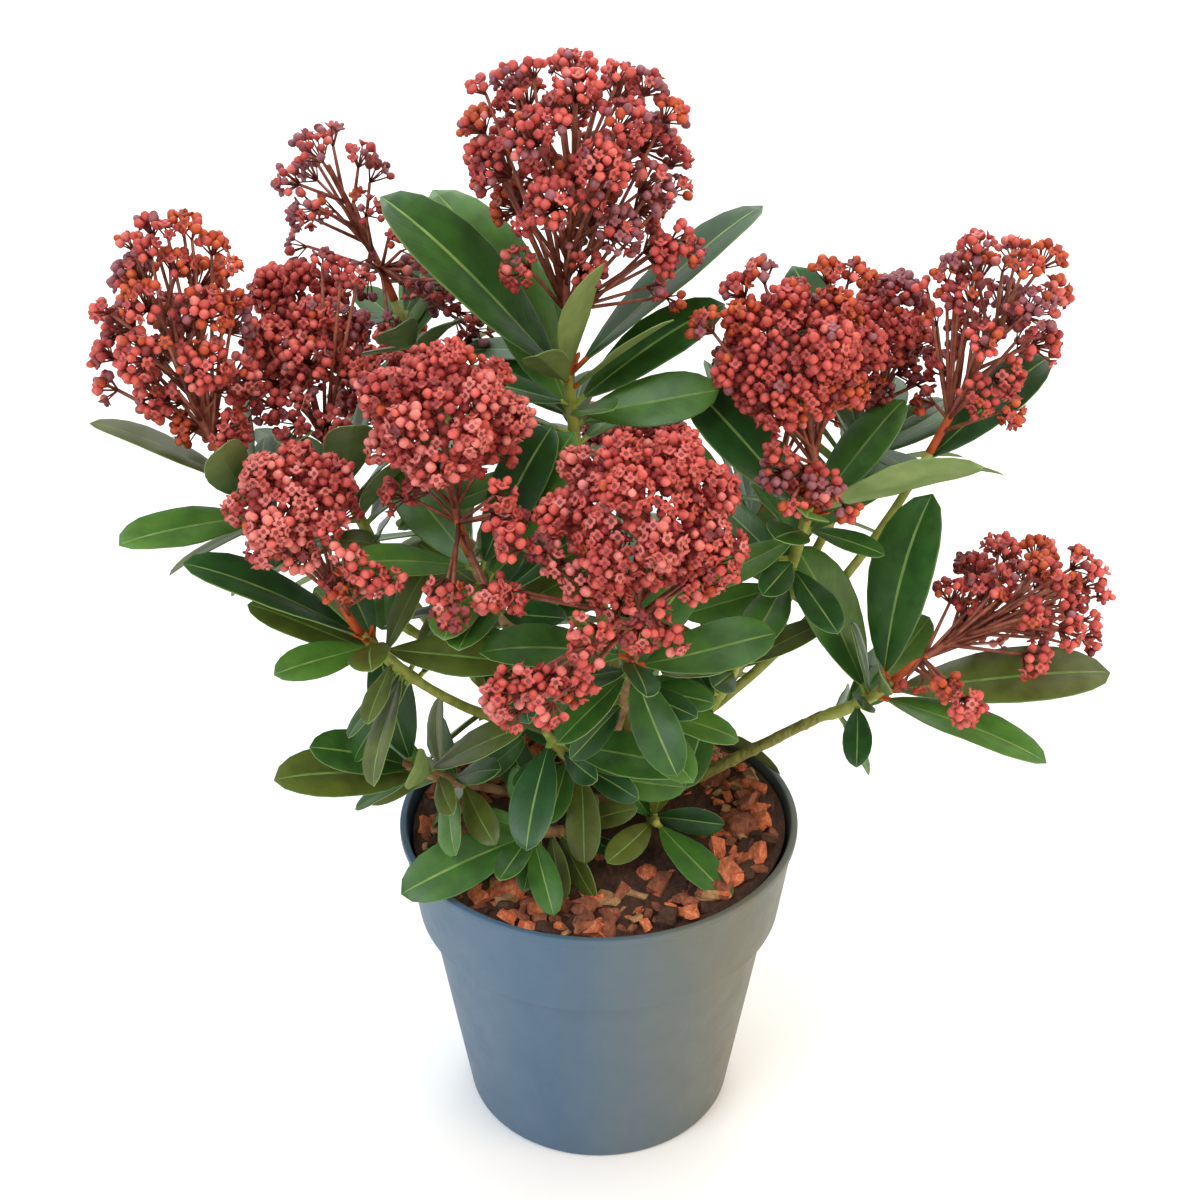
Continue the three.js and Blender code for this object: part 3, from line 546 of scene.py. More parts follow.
def fillWhorl(shoot, index):
    random = seededRandom(seeds["filler"] + index)
    owner = "leaves_" + shoot["name"]
    for k in range(filler["tries"]):
        height = 1 - (filler["firstBelow"] + filler["spacing"] * k) / limbs[owner]["span"]
        tilt = between(filler["tilts"], k / (filler["tries"] - 1))
        turn = shoot["phase"] + filler["turn"] + goldenAngle * k + spread(filler["turnJitter"], random())
        roll = spread(filler["rollJitter"], random())
        length = shoot["leafLength"] * between(filler["lengthShare"], random())
        droop = between(leafRule["droop"], random())
        if height > filler["lowestRoot"]:
            layAround(owner, height, tilt, turn, roll, length, droop, filler["apart"], staysOpenAndInside)


growLimbs()
for s in shoots:
    if s.get("dense"):
        addCore(s)
for s in shoots:
    growLeads(s, s["leads"], keepApart)
for index, s in enumerate(shoots):
    if "head" in s:
        growHead(s, index)
for index, s in enumerate(shoots):
    growWhorl(s, index)
print(f"growth rule: {len(limbs)} limbs, {len(blades)} leaves, {len(clusters)} flower clusters")

ruleLeaves = len(blades)
for s in shoots:
    growLeads(s, moreLeads.get(s["name"], []), filler["apart"])
for index, s in enumerate(shoots):
    fillWhorl(s, index)
print(f"filler: {len(blades) - ruleLeaves} smaller leaves")


# Materials

def addNode(tree, kind, settings=None, links=None):
    node = tree.nodes.new(kind)
    for name, value in (settings or {}).items():
        if isinstance(name, int) or name in node.inputs:
            node.inputs[name].default_value = value
        else:
            setattr(node, name, value)
    for name, source in (links or {}).items():
        tree.links.new(source, node.inputs[name])
    return node


def addNoise(tree, vector, size, detail, roughness=0.5):
    # size: how far apart its blotches are, in mm
    settings = {"Scale": 1 / (size * mm), "Detail": detail, "Roughness": roughness}
    return addNode(tree, "ShaderNodeTexNoise", settings, {"Vector": vector}).outputs["Fac"]


def addRamp(tree, source, stops):
    ramp = addNode(tree, "ShaderNodeValToRGB", {}, {"Fac": source})
    elements = ramp.color_ramp.elements
    while len(elements) < len(stops):
        elements.new(0.5)
    for element, (place, code) in zip(elements, stops):
        element.position = place
        element.color = srgb(code)
    return ramp.outputs["Color"]


def addMath(tree, operation, *values, **settings):
    # values: numbers or sockets, in the node's order
    isLinked = [isinstance(value, bpy.types.NodeSocket) for value in values]
    settings.update({"operation": operation})
    numbers = {k: value for k, value in enumerate(values) if not isLinked[k]}
    sockets = {k: value for k, value in enumerate(values) if isLinked[k]}
    return addNode(tree, "ShaderNodeMath", {**settings, **numbers}, sockets).outputs[0]


def addBump(tree, height, strength, depth, under=None, invert=False):
    # depth in mm; under: the normal it is laid over
    links = {"Height": height} if under is None else {"Height": height, "Normal": under}
    settings = {"Strength": strength, "Distance": depth * mm, "invert": invert}
    return addNode(tree, "ShaderNodeBump", settings, links).outputs["Normal"]


def newMaterial(name, shaderSettings):
    material = bpy.data.materials.new(name)
    material.use_nodes = True
    tree = material.node_tree
    shader = tree.nodes["Principled BSDF"]
    for socket, value in shaderSettings.items():
        shader.inputs[socket].default_value = value
    return material, tree, shader, addNode(tree, "ShaderNodeTexCoord").outputs["Object"]


def connect(tree, shader, sources):
    for socket, source in sources.items():
        tree.links.new(source, shader.inputs[socket])


def leafSkin(name, top, dark, roughness):
    # living evergreen leaf: a smooth waxy cuticle over uneven green, with fine sunken side veins
    material, tree, shader, place = newMaterial(name, {
        "Roughness": roughness, "IOR": 1.42, "Coat Weight": 0.08, "Coat Roughness": 0.25, "Coat IOR": 1.4})
    leafShape = addNode(tree, "ShaderNodeTexCoord").outputs["UV"]
    across, along = addNode(tree, "ShaderNodeSeparateXYZ", {}, {"Vector": leafShape}).outputs[:2]
    aside = addMath(tree, "ABSOLUTE", addMath(tree, "SUBTRACT", across, 0.5))
    slanted = addMath(tree, "ADD", along, addMath(tree, "MULTIPLY", aside, -veins["slant"]))
    wave = addMath(tree, "SINE", addMath(tree, "MULTIPLY", slanted, 2 * math.pi * veins["count"]))
    sunken = addBump(tree, addMath(tree, "SMOOTH_MAX", wave, 0.7, 0.3), 0.35, veins["depth"], invert=True)
    connect(tree, shader, {
        "Base Color": addRamp(tree, addNoise(tree, place, 9, 3), [(0.32, dark), (0.62, top)]),
        "Normal": addBump(tree, addNoise(tree, place, 1.6, 2), 0.12, 0.3, sunken)})
    return material


def plainSkin(name, stops, drift, shaderSettings):
    # soft plant skin: colour that drifts over a few millimetres, and a slight unevenness
    material, tree, shader, place = newMaterial(name, shaderSettings)
    noise = addNoise(tree, place, drift, 3)
    connect(tree, shader, {"Base Color": addRamp(tree, noise, stops),
                           "Normal": addBump(tree, noise, 0.3, 0.2)})
    return material


def fibrousSkin(name, shades, look):
    # bark: fibres drawn out one way, lighter corky flecks, dark pits between them
    material, tree, shader, place = newMaterial(name, {"Roughness": look["roughness"], "IOR": 1.4})
    drawn = addNode(tree, "ShaderNodeMapping", {"Scale": look["stretch"]}, {"Vector": place})
    fibres = addNoise(tree, drawn.outputs["Vector"], look["fibre"], look["detail"], look["harshness"])
    connect(tree, shader, {"Base Color": addRamp(tree, fibres, list(zip((0.3, 0.5, 0.72), shades))),
                           "Normal": addBump(tree, fibres, look["bump"], 0.5)})
    return material


def mouldedPlastic():
    # blue-grey polypropylene, injection moulded: satin matte, a faint flow mottle and dusty scuffs; the right
    # side (+x) carries painted warm light, a mottled olive tint that grows towards +x
    material, tree, shader, place = newMaterial("mouldedPolypropylene", {
        "IOR": 1.49, "Coat Weight": 0.06, "Coat Roughness": 0.5})
    flow = addNode(tree, "ShaderNodeMapping", {"Scale": (1, 1, 0.35)}, {"Vector": place})
    mottle = addNoise(tree, flow.outputs["Vector"], 60, 4)
    plain = addRamp(tree, mottle, [(0.3, "#38556D"), (0.7, "#496479")])
    # painted warm light: olive mixed in more strongly towards +x, broken up by the flow mottle
    split = addNode(tree, "ShaderNodeSeparateXYZ", {}, {"Vector": place})
    side = addNode(tree, "ShaderNodeMapRange", {"From Min": -20 * mm, "From Max": 60 * mm, "To Max": 0.9},
                   {"Value": split.outputs["X"]}).outputs["Result"]
    paintedWarmLight = addMath(tree, "MULTIPLY", addMath(tree, "MULTIPLY", side, mottle), 1.8, use_clamp=True)
    potColourWithPaintedLight = addNode(tree, "ShaderNodeMixRGB", {"Color2": srgb("#5C5A45")}, {"Fac": paintedWarmLight, "Color1": plain})
    scuffs = addNode(tree, "ShaderNodeMapRange",
                     {"From Min": 0.3, "From Max": 0.7, "To Min": 0.46, "To Max": 0.62},
                     {"Value": addNoise(tree, place, 14, 6, 0.7)})
    connect(tree, shader, {"Base Color": potColourWithPaintedLight.outputs["Color"], "Roughness": scuffs.outputs["Result"],
                           "Normal": addBump(tree, addNoise(tree, place, 0.9, 2), 0.18, 0.12)})
    return material


veins = {"count": 11, "slant": 0.5, "depth": 0.25}
leafGreens = {  # name: (top colour, its darker mottle, roughness)
    "leafDeepGreen": ("#204C1A", "#183B15", 0.4),
    "leafMossGreen": ("#2E571C", "#224516", 0.4),
    "leafMidGreen": ("#3A6722", "#2C531B", 0.42),
    "leafFreshGreen": ("#4A7628", "#3A621F", 0.44),
    "leafOlive": ("#54611E", "#454F19", 0.46),
}
greens = [leafSkin(name, *look) for name, look in leafGreens.items()]
oliveIndex = len(greens) - 1
budReds = {  # name: (darker, main, lighter)
    "budCrimson": ("#802A27", "#A83E38", "#BC524A"),
    "budCoral": ("#9E3D35", "#C04F46", "#CE685C"),
    "budRose": ("#B05148", "#C8695F", "#D6827A"),
    "budOrange": ("#8A2F18", "#AE4624", "#BE5C30"),
    "budMauve": ("#6A393F", "#8A4E54", "#9A646A"),
    "budDeep": ("#56201F", "#7A2E2D", "#8C3D3B"),
}
waxy = {"Roughness": 0.5, "IOR": 1.4}
reds = [plainSkin(name, list(zip((0.3, 0.5, 0.7), shades)), 4.5, waxy) for name, shades in budReds.items()]
dull = {"Roughness": 0.55, "IOR": 1.42}
matte = {"Roughness": 0.62, "IOR": 1.4}
(midribSkin, marginSkin, underSkin, petioleGreen, petioleRed, stemGreen, stemBrown, stalkRed, pedicelSkin) = [
    plainSkin(*row) for row in (  # name, colours from dark to light, how far they drift in mm, shader
        ("midribPaleGreen", [(0.3, "#5F8038"), (0.7, "#7E9A52")], 6, dull),
        ("marginPaleGreen", [(0.3, "#355A24"), (0.7, "#4F7436")], 6, dull),
        ("leafUndersideMatte", [(0.3, "#6A8248"), (0.7, "#83985C")], 10, matte),
        ("petioleGreen", [(0.3, "#7E9440"), (0.7, "#9AA84E")], 5, dull),
        ("petioleOrangeRed", [(0.3, "#A8401E"), (0.7, "#C8602A")], 5, dull),
        ("youngStemYellowGreen", [(0.25, "#6E7A30"), (0.5, "#8E9440"), (0.75, "#A0A25A")], 5, dull),
        ("youngStemBrownPink", [(0.25, "#6E4A34"), (0.5, "#8E6A4A"), (0.75, "#A88A62")], 5, dull),
        ("panicleStalkRed", [(0.3, "#6E3226"), (0.7, "#9A5A42")], 4, dull),
        ("pedicelBrownRed", [(0.3, "#5E261E"), (0.7, "#84402F")], 4, dull),
    )]
youngBark = {"stretch": (1, 1, 0.28), "fibre": 2.2, "detail": 5, "harshness": 0.65, "roughness": 0.82,
             "bump": 0.7}
barkBrown = fibrousSkin("skimmiaBarkBrown", ("#4A3826", "#6E563A", "#95805A"), youngBark)
barkOlive = fibrousSkin("skimmiaBarkOlive", ("#5C5A2C", "#7E7C3C", "#A09A58"), youngBark)
print("materials: leaf, bud, stem and bark skins")


# Meshes from arrays: one template is stamped once for each copy

def readTemplate(bm):
    bm.verts.index_update()
    loops = [[v.index for v in f.verts] for f in bm.faces]
    template = {"vertices": np.array([v.co for v in bm.verts], dtype=float), "loops": np.concatenate(loops),
                "sizes": np.array([len(loop) for loop in loops]),
                "kinds": np.array([f.material_index for f in bm.faces])}
    bm.free()
    return template


def stamp(template, copies, kinds=0):
    # copies: (count, vertices in the template, 3), already in metres; kinds: one material, or each face's own
    count, size = copies.shape[:2]
    loops = template["loops"][None, :] + size * np.arange(count)[:, None]
    sizes = np.tile(template["sizes"], count)
    return copies.reshape(-1, 3), loops.ravel(), sizes, np.broadcast_to(kinds, sizes.shape)


def newPiece(name, vertices, loops, sizes, kinds, materials, uvs=None):
    mesh = bpy.data.meshes.new(name)
    mesh.vertices.add(len(vertices))
    mesh.vertices.foreach_set("co", np.asarray(vertices, dtype=np.float32).ravel())
    mesh.loops.add(len(loops))
    mesh.loops.foreach_set("vertex_index", np.asarray(loops, dtype=np.int32))
    mesh.polygons.add(len(sizes))
    starts = np.concatenate([[0], np.cumsum(sizes)[:-1]])
    mesh.polygons.foreach_set("loop_start", starts.astype(np.int32))
    for material in materials:
        mesh.materials.append(material)
    mesh.polygons.foreach_set("material_index", np.asarray(kinds, dtype=np.int32))
    mesh.update(calc_edges=True)
    mesh.polygons.foreach_set("use_smooth", np.ones(len(sizes), dtype=bool))
    if uvs is not None:
        layer = mesh.uv_layers.new(name="leafShape")
        layer.data.foreach_set("uv", np.asarray(uvs, dtype=np.float32).ravel())
    mesh.validate()
    return addObject(name, mesh)


def joinParts(name, parts, materials):
    # parts: vertices, loops, sizes and kinds of each, put after one another
    vertices, loops, sizes, kinds = zip(*parts)
    offsets = np.cumsum([0] + [len(v) for v in vertices[:-1]])
    return newPiece(name, np.concatenate(vertices), np.concatenate([l + o for l, o in zip(loops, offsets)]),
                    np.concatenate(sizes), np.concatenate(kinds), materials)


def settle(piece, nodes):
    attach(piece, "root")
    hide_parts(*nodes)


# Leaves

leafLook = {
    "columns": (-1, -0.955, -0.5, -0.045, 0.045, 0.5, 0.955, 1),  # margin, blade, midrib, blade, margin
    "stations": (0, 0.05, 0.1, 0.15, 0.23, 0.33, 0.45, 0.57, 0.69, 0.8, 0.89, 0.96, 1),
    "marginFrom": 0.9, "midribTo": 0.05, "petioleTo": 0.09, "bladeFrom": 0.08,
    "thicknessAt": (0, 0.09, 0.3, 1), "thickness": (2.0, 1.6, 0.55 * 1.3, 0.55), "marginThinning": 0.45,
    "petioleHalfWidth": 1.1, "petioleFadesAt": 0.5, "tipHalfWidth": 0.25,
    "widths": (0.88, 1.08), "baseFullness": 0.84, "tipFullness": 0.54,
    "folds": (0.7, 1.4), "foldBend": 1.3, "bulge": 0.07,
    "ribWidth": 0.07, "ribSink": 0.32, "ribFullAt": 0.125, "ribUnder": 1.9,
    "wave": 0.5, "waves": 2.3, "bend": 0.03, "twist": 10, "tipCurl": 0.035, "leastCurl": 0.4,
}
leafMaterials = greens + [midribSkin, marginSkin, underSkin, petioleGreen, petioleRed]
midribIndex, marginIndex, underIndex, petioleIndex, petioleRedIndex = range(len(greens), len(leafMaterials))
redNodes = {"top", "right_low", "left_front", "front", "right_inner"}  # young petioles here are orange-red
youngWithin = 14  # of the node
oliveShares = {"usual": 0.1, "left_outer": 0.4, "low_left": 0.55, "right_low": 0.12, "mid_right": 0.4,
               "low_near": 0.3, "left_front": 0.25, "low_right": 0.25}
bractLook = {"count": 5, "lengths": (6, 10), "tilts": (30, 65), "below": 3.5, "step": 1.1, "droop": -0.1}


def leafTemplate():
    # a flat leaf one unit long, upper and under side; shapeLeaf gives each copy its form
    bm = bmesh.new()
    columns, stations = leafLook["columns"], leafLook["stations"]
    across, along = len(columns) - 1, len(stations) - 1
    bmesh.ops.create_grid(bm, x_segments=across, y_segments=along, size=0.5)
    for v in bm.verts:
        v.co.x = columns[round((v.co.x + 0.5) * across)]
        v.co.y = stations[round((v.co.y + 0.5) * along)]
    bmesh.ops.solidify(bm, geom=bm.faces[:], thickness=1)
    middle = sum(v.co.z for v in bm.verts) / len(bm.verts)
    for v in bm.verts:
        v.co.z = 1 if v.co.z > middle else -1
    for f in bm.faces:
        centre = sum((v.co for v in f.verts), start=f.verts[0].co * 0) / len(f.verts)
        isUpper = all(v.co.z > 0 for v in f.verts)
        if centre.y < leafLook["petioleTo"]:
            f.material_index = petioleIndex
        elif not isUpper:
            f.material_index = underIndex
        elif abs(centre.x) > leafLook["marginFrom"]:
            f.material_index = marginIndex
        elif abs(centre.x) < leafLook["midribTo"]:
            f.material_index = midribIndex
    bmesh.ops.recalc_face_normals(bm, faces=bm.faces[:])
    return readTemplate(bm)


def halfWidth(length, t, widest):
    start = leafLook["bladeFrom"]
    u = np.clip((t - start) / (1 - start), 0, 1)
    a, b = leafLook["baseFullness"], leafLook["tipFullness"]
    peak = (a / (a + b)) ** a * (b / (a + b)) ** b
    outline = u ** a * (1 - u) ** b / peak
    widest = widest * length * leafRule["widthShare"] / 2
    stalk = leafLook["petioleHalfWidth"] * np.clip(1 - t / leafLook["petioleFadesAt"], 0, 1)
    return np.maximum(outline * widest, stalk + leafLook["tipHalfWidth"])


def shapeLeaf(template, blade, random):
    across, t, layer = template["vertices"].T
    length = blade["length"]
    half = halfWidth(length, t, between(leafLook["widths"], random()))
    thick = np.interp(t, leafLook["thicknessAt"], leafLook["thickness"]) / 2
    thick = thick * (1 - leafLook["marginThinning"] * np.abs(across) ** 2)
    fold = leafRule["fold"] * between(leafLook["folds"], random())
    lift = fold * np.abs(across) ** leafLook["foldBend"] * half - blade["droop"] * length * t * t
    lift += leafLook["bulge"] * half * np.sin(math.pi * np.abs(across))
    rib = np.exp(-(across / leafLook["ribWidth"]) ** 2) * leafLook["ribSink"]
    rib = rib * np.clip(t / leafLook["ribFullAt"], 0, 1) * (1 - t)
    lift -= np.where(layer > 0, rib, rib * leafLook["ribUnder"])
    phase = random() * 2 * math.pi
    wave = leafLook["wave"] * spread(1, random()) * np.sin(phase + 2 * math.pi * leafLook["waves"] * t)
    lift += wave * across ** 2 * np.sin(math.pi * t)
    lift -= leafLook["tipCurl"] * length * t ** 6 * (leafLook["leastCurl"] + random())
    bend = leafLook["bend"] * length * spread(1, random()) * np.sin(math.pi * t)
    twist = np.radians(spread(leafLook["twist"], random())) * t
    side = blade["side"] * np.cos(twist)[:, None] + blade["face"] * np.sin(twist)[:, None]
    face = blade["face"] * np.cos(twist)[:, None] - blade["side"] * np.sin(twist)[:, None]
    shaped = blade["root"] + blade["direction"] * (length * t)[:, None] + side * (across * half)[:, None]
    return (shaped + face * (lift + layer * thick)[:, None] + blade["side"] * bend[:, None]) * mm


def makeLeaves():
    template = leafTemplate()
    uvTemplate = template["vertices"][template["loops"]][:, :2] * (0.5, 1) + (0.5, 0)
    random = seededRandom(seeds["leaves"])
    copies = []
    kinds = []
    for blade in blades:
        name = blade["owner"].removeprefix("leaves_")
        copies.append(shapeLeaf(template, blade, random))
        isOlive = random() < oliveShares.get(name, oliveShares["usual"])
        green = oliveIndex if isOlive else min(int(random() * oliveIndex), oliveIndex - 1)
        kind = template["kinds"].copy()
        kind[kind == 0] = green
        fromNode = np.linalg.norm(blade["root"] - limbs[blade["owner"]]["curve"][2])
        if name in redNodes and fromNode < youngWithin:
            kind[kind == petioleIndex] = petioleRedIndex
        kinds.append(kind)
    for s in shoots:
        limb = limbs["leaves_" + s["name"]]
        for k in range(bractLook["count"] if s["name"] in redNodes else 0):
            height = 1 - (bractLook["below"] + bractLook["step"] * k) / limb["span"]
            axis = curveTangent(limb["curve"], height)
            tilt = math.radians(between(bractLook["tilts"], random()))
            direction = leaning(axis, math.radians(goldenAngle * k + s["phase"]), tilt)
            side = unit(np.cross(direction, axis))
            bract = {"root": curvePoint(limb["curve"], height), "direction": direction, "side": side,
                     "face": np.cross(side, direction), "length": between(bractLook["lengths"], random()),
                     "droop": bractLook["droop"]}
            copies.append(shapeLeaf(template, bract, random))
            kinds.append(np.full(len(template["sizes"]), petioleRedIndex))
    stamped = stamp(template, np.array(copies), np.concatenate(kinds))
    return newPiece("leaf_blades", *stamped, leafMaterials, np.tile(uvTemplate, (len(copies), 1)))


leafPiece = makeLeaves()
leafNodes = ["leaves_" + s["name"] for s in shoots]
settle(leafPiece, leafNodes)
print(f"leaves: {len(blades)}, {len(leafPiece.data.polygons)} faces")


# Limbs: a ring drawn out along the limb's own curve

def limbTemplate(sides, steps):
    bm = bmesh.new()
    bmesh.ops.create_circle(bm, cap_ends=True, segments=sides, radius=1)
    ring = bm.edges[:]
    for step in range(steps):
        drawn = bmesh.ops.extrude_edge_only(bm, edges=ring)["geom"]
        moved = [g for g in drawn if isinstance(g, bmesh.types.BMVert)]
        bmesh.ops.translate(bm, verts=moved, vec=(0, 0, 1 / steps))
        ring = [g for g in drawn if isinstance(g, bmesh.types.BMEdge)
                and all(v in moved for v in g.verts)]
    bmesh.ops.edgeloop_fill(bm, edges=ring)
    bmesh.ops.recalc_face_normals(bm, faces=bm.faces[:])
    return readTemplate(bm)


def shapeLimb(template, limb, radiusAt):
    # radiusAt: the radius for a share of the way along and an angle round the limb
    x, y, height = template["vertices"].T
    place = np.array([curvePoint(limb["curve"], t) for t in height])
    across, through = np.array([sidesOf(curveTangent(limb["curve"], t)) for t in height]).swapaxes(0, 1)
    angle = np.arctan2(y, x)
    radius = radiusAt(height, angle) * np.hypot(x, y)
    return (place + across * (radius * np.cos(angle))[:, None]
            + through * (radius * np.sin(angle))[:, None]) * mm


barkRelief = {"sides": 20, "trunkSides": 36, "stepLength": 1.4, "fullTurn": 6.28,
              "ribDepth": 0.28, "trunkRibDepth": 0.6, "ribShare": 0.6, "knotShare": 0.4,
              "ribs": 7, "drift": 0.9, "driftLength": 5, "ribLength": 3.7, "ribTwist": 2,
              "knots": 3, "knotLength": 2.1, "knotSpacing": 6.3,
              "scarSpacing": 13, "scarAt": 4, "scarWidth": 0.5, "scarHeight": 0.45,
              "rootLobes": 4, "rootLobeDepth": 0.9}


def barkRadius(limb, isTrunk, random):
    b = barkRelief
    phase = random() * b["fullTurn"]
    radii = limb["radii"]
    depth = b["trunkRibDepth"] if isTrunk else b["ribDepth"]

    def radiusAt(t, angle):
        along = t * limb["span"]
        drift = b["drift"] * np.sin(along / b["driftLength"])
        ribs = np.sin(angle * b["ribs"] + phase + drift)
        ribs = ribs * np.sin(along / b["ribLength"] + angle * b["ribTwist"])
        knots = np.sin(angle * b["knots"] + along / b["knotLength"] + phase)
        knots = knots * np.sin(along / b["knotSpacing"] + phase)
        relief = depth * (b["ribShare"] * ribs + b["knotShare"] * knots)
        if not isTrunk:
            scars = np.exp(-(((along + phase * 2) % b["scarSpacing"]) - b["scarAt"]) ** 2 / b["scarWidth"])
            return between(radii, t) + relief + b["scarHeight"] * scars
        flare = (trunk["flare"] - radii[0]) * (1 - t) ** 5
        lobes = b["rootLobeDepth"] * (1 - t) ** 4 * np.cos(angle * b["rootLobes"] + phase)
        return between(radii, t) + flare + lobes + relief

    return radiusAt


def makeBark():
    random = seededRandom(seeds["bark"])
    for name in ["trunk"] + [bough[0] for bough in boughs]:
        limb = limbs[name]
        isTrunk = name == "trunk"
        sides = barkRelief["trunkSides"] if isTrunk else barkRelief["sides"]
        template = limbTemplate(sides, math.ceil(limb["span"] / barkRelief["stepLength"]))
        shaped = shapeLimb(template, limb, barkRadius(limb, isTrunk, random))
        skin = barkBrown if isTrunk else barkOlive
        settle(newPiece(name + "_bark", *stamp(template, shaped[None]), [skin]), [name])


makeBark()
print(f"bark: trunk and {len(boughs)} boughs")

stemLook = {"sides": 10, "steps": 26, "cushion": 0.55, "cushionWidth": 1.5,
            "relief": 0.08, "ribs": 5, "ribTwist": 40}
brownStems = {"low_left", "low_near", "front", "centre", "rear_left", "low_rear"}


def makeStems():
    template = limbTemplate(stemLook["sides"], stemLook["steps"])
    parts = []
    for s in shoots:
        limb = limbs["leaves_" + s["name"]]
        roots = [1 - np.linalg.norm(b["root"] - limb["curve"][2]) / limb["span"] for b in blades
                 if b["owner"] == limb["name"]]

        def radiusAt(t, angle):
            # a cushion under each leaf
            swell = sum(np.exp(-((t - r) * limb["span"] / stemLook["cushionWidth"]) ** 2) for r in roots)
            fine = stemLook["relief"] * np.sin(angle * stemLook["ribs"] + t * stemLook["ribTwist"])
            return between(limb["radii"], t) + stemLook["cushion"] * np.minimum(swell, 1) + fine

        shaped = shapeLimb(template, limb, radiusAt)
        parts.append(stamp(template, shaped[None], int(s["name"] in brownStems)))
    return joinParts("young_stems", parts, [stemGreen, stemBrown])


stemPiece = makeStems()
settle(stemPiece, leafNodes)
print(f"stems: {len(stemPiece.data.polygons)} faces")


# Flower heads: each cluster of the rule is carried on to a small dome of round buds on their pedicels

headLook = {
    "budRadius": (1.5, 2.15), "budSpacing": 4.1, "packing": 0.87, "sink": 1.4, "overlap": 0.78, "seam": 0.35,
    "lean": 0.3, "openRadius": (1.9, 2.4), "fivePetalsFrom": 0.2, "mostBuds": 4000,
    "openShare": 0.4, "openShares": {"centre": 0.6, "front": 0.65, "left_front": 0.6},
    "spacings": {"left_rear": 5.4, "right_outer": 4.5, "left_outer": 4.3},
    "sameColour": 0.6, "orangeTops": 0.55, "orangeFrom": 0.35,
    # loose cymes
    "looseLowest": -0.1, "lowest": {"left_rear": 0.3, "right_outer": 0.1},
    "looseWide": 1.16, "looseTall": 0.86, "outFromHead": 0.5, "upFromHead": 2, "footBelow": 0.55,
    "pedicelRadius": 0.45, "branchRadius": 0.9, "cymeRoot": 0.3, "cymeOverLeaf": 0.5,
    # clusters pressed together into one dense head, and those that hang below it
    "pressedLowest": -0.6, "pressedPuffs": (1.02, 1.26), "puffs": {"right_inner": (0.88, 1.4)},
    "shortPedicel": 5, "innerStep": 3.4, "innerSpacing": 4.3, "innerLowest": -0.8,
    "hangingBelow": -0.15, "hangingPuffs": (0.94, 1.12), "hangingRoot": 0.4,
    # smaller cymes that fill a loose head
    "fillers": 60, "fillerShares": {"left_outer": 0.6, "right_outer": 0.35, "left_rear": 0.2},
    "fillerRadius": (4.2, 7.4), "fillerDepth": (0.34, 1.0), "fillerLowest": -0.8, "fillerOverlap": 0.7,
    "fillerOverLeaf": 0.8, "fillerRoot": 0.9,
    # heads and side lobes that sit a little off their cluster centres
    "shifts": {"left_outer": (6, 0, -6), "right_rear": (-2, 0, -6), "left_rear": (-2.5, 0, 0),
               "right_outer": (-2, 0, 1), "right_low": (0, 0, -5), "right_inner": (1, 0, -3),
               "front": (-1, 0, -3), "left_front": (-3.5, 0, 2)},
    "lobeShifts": {"front": (-5, 0, 2)},
}
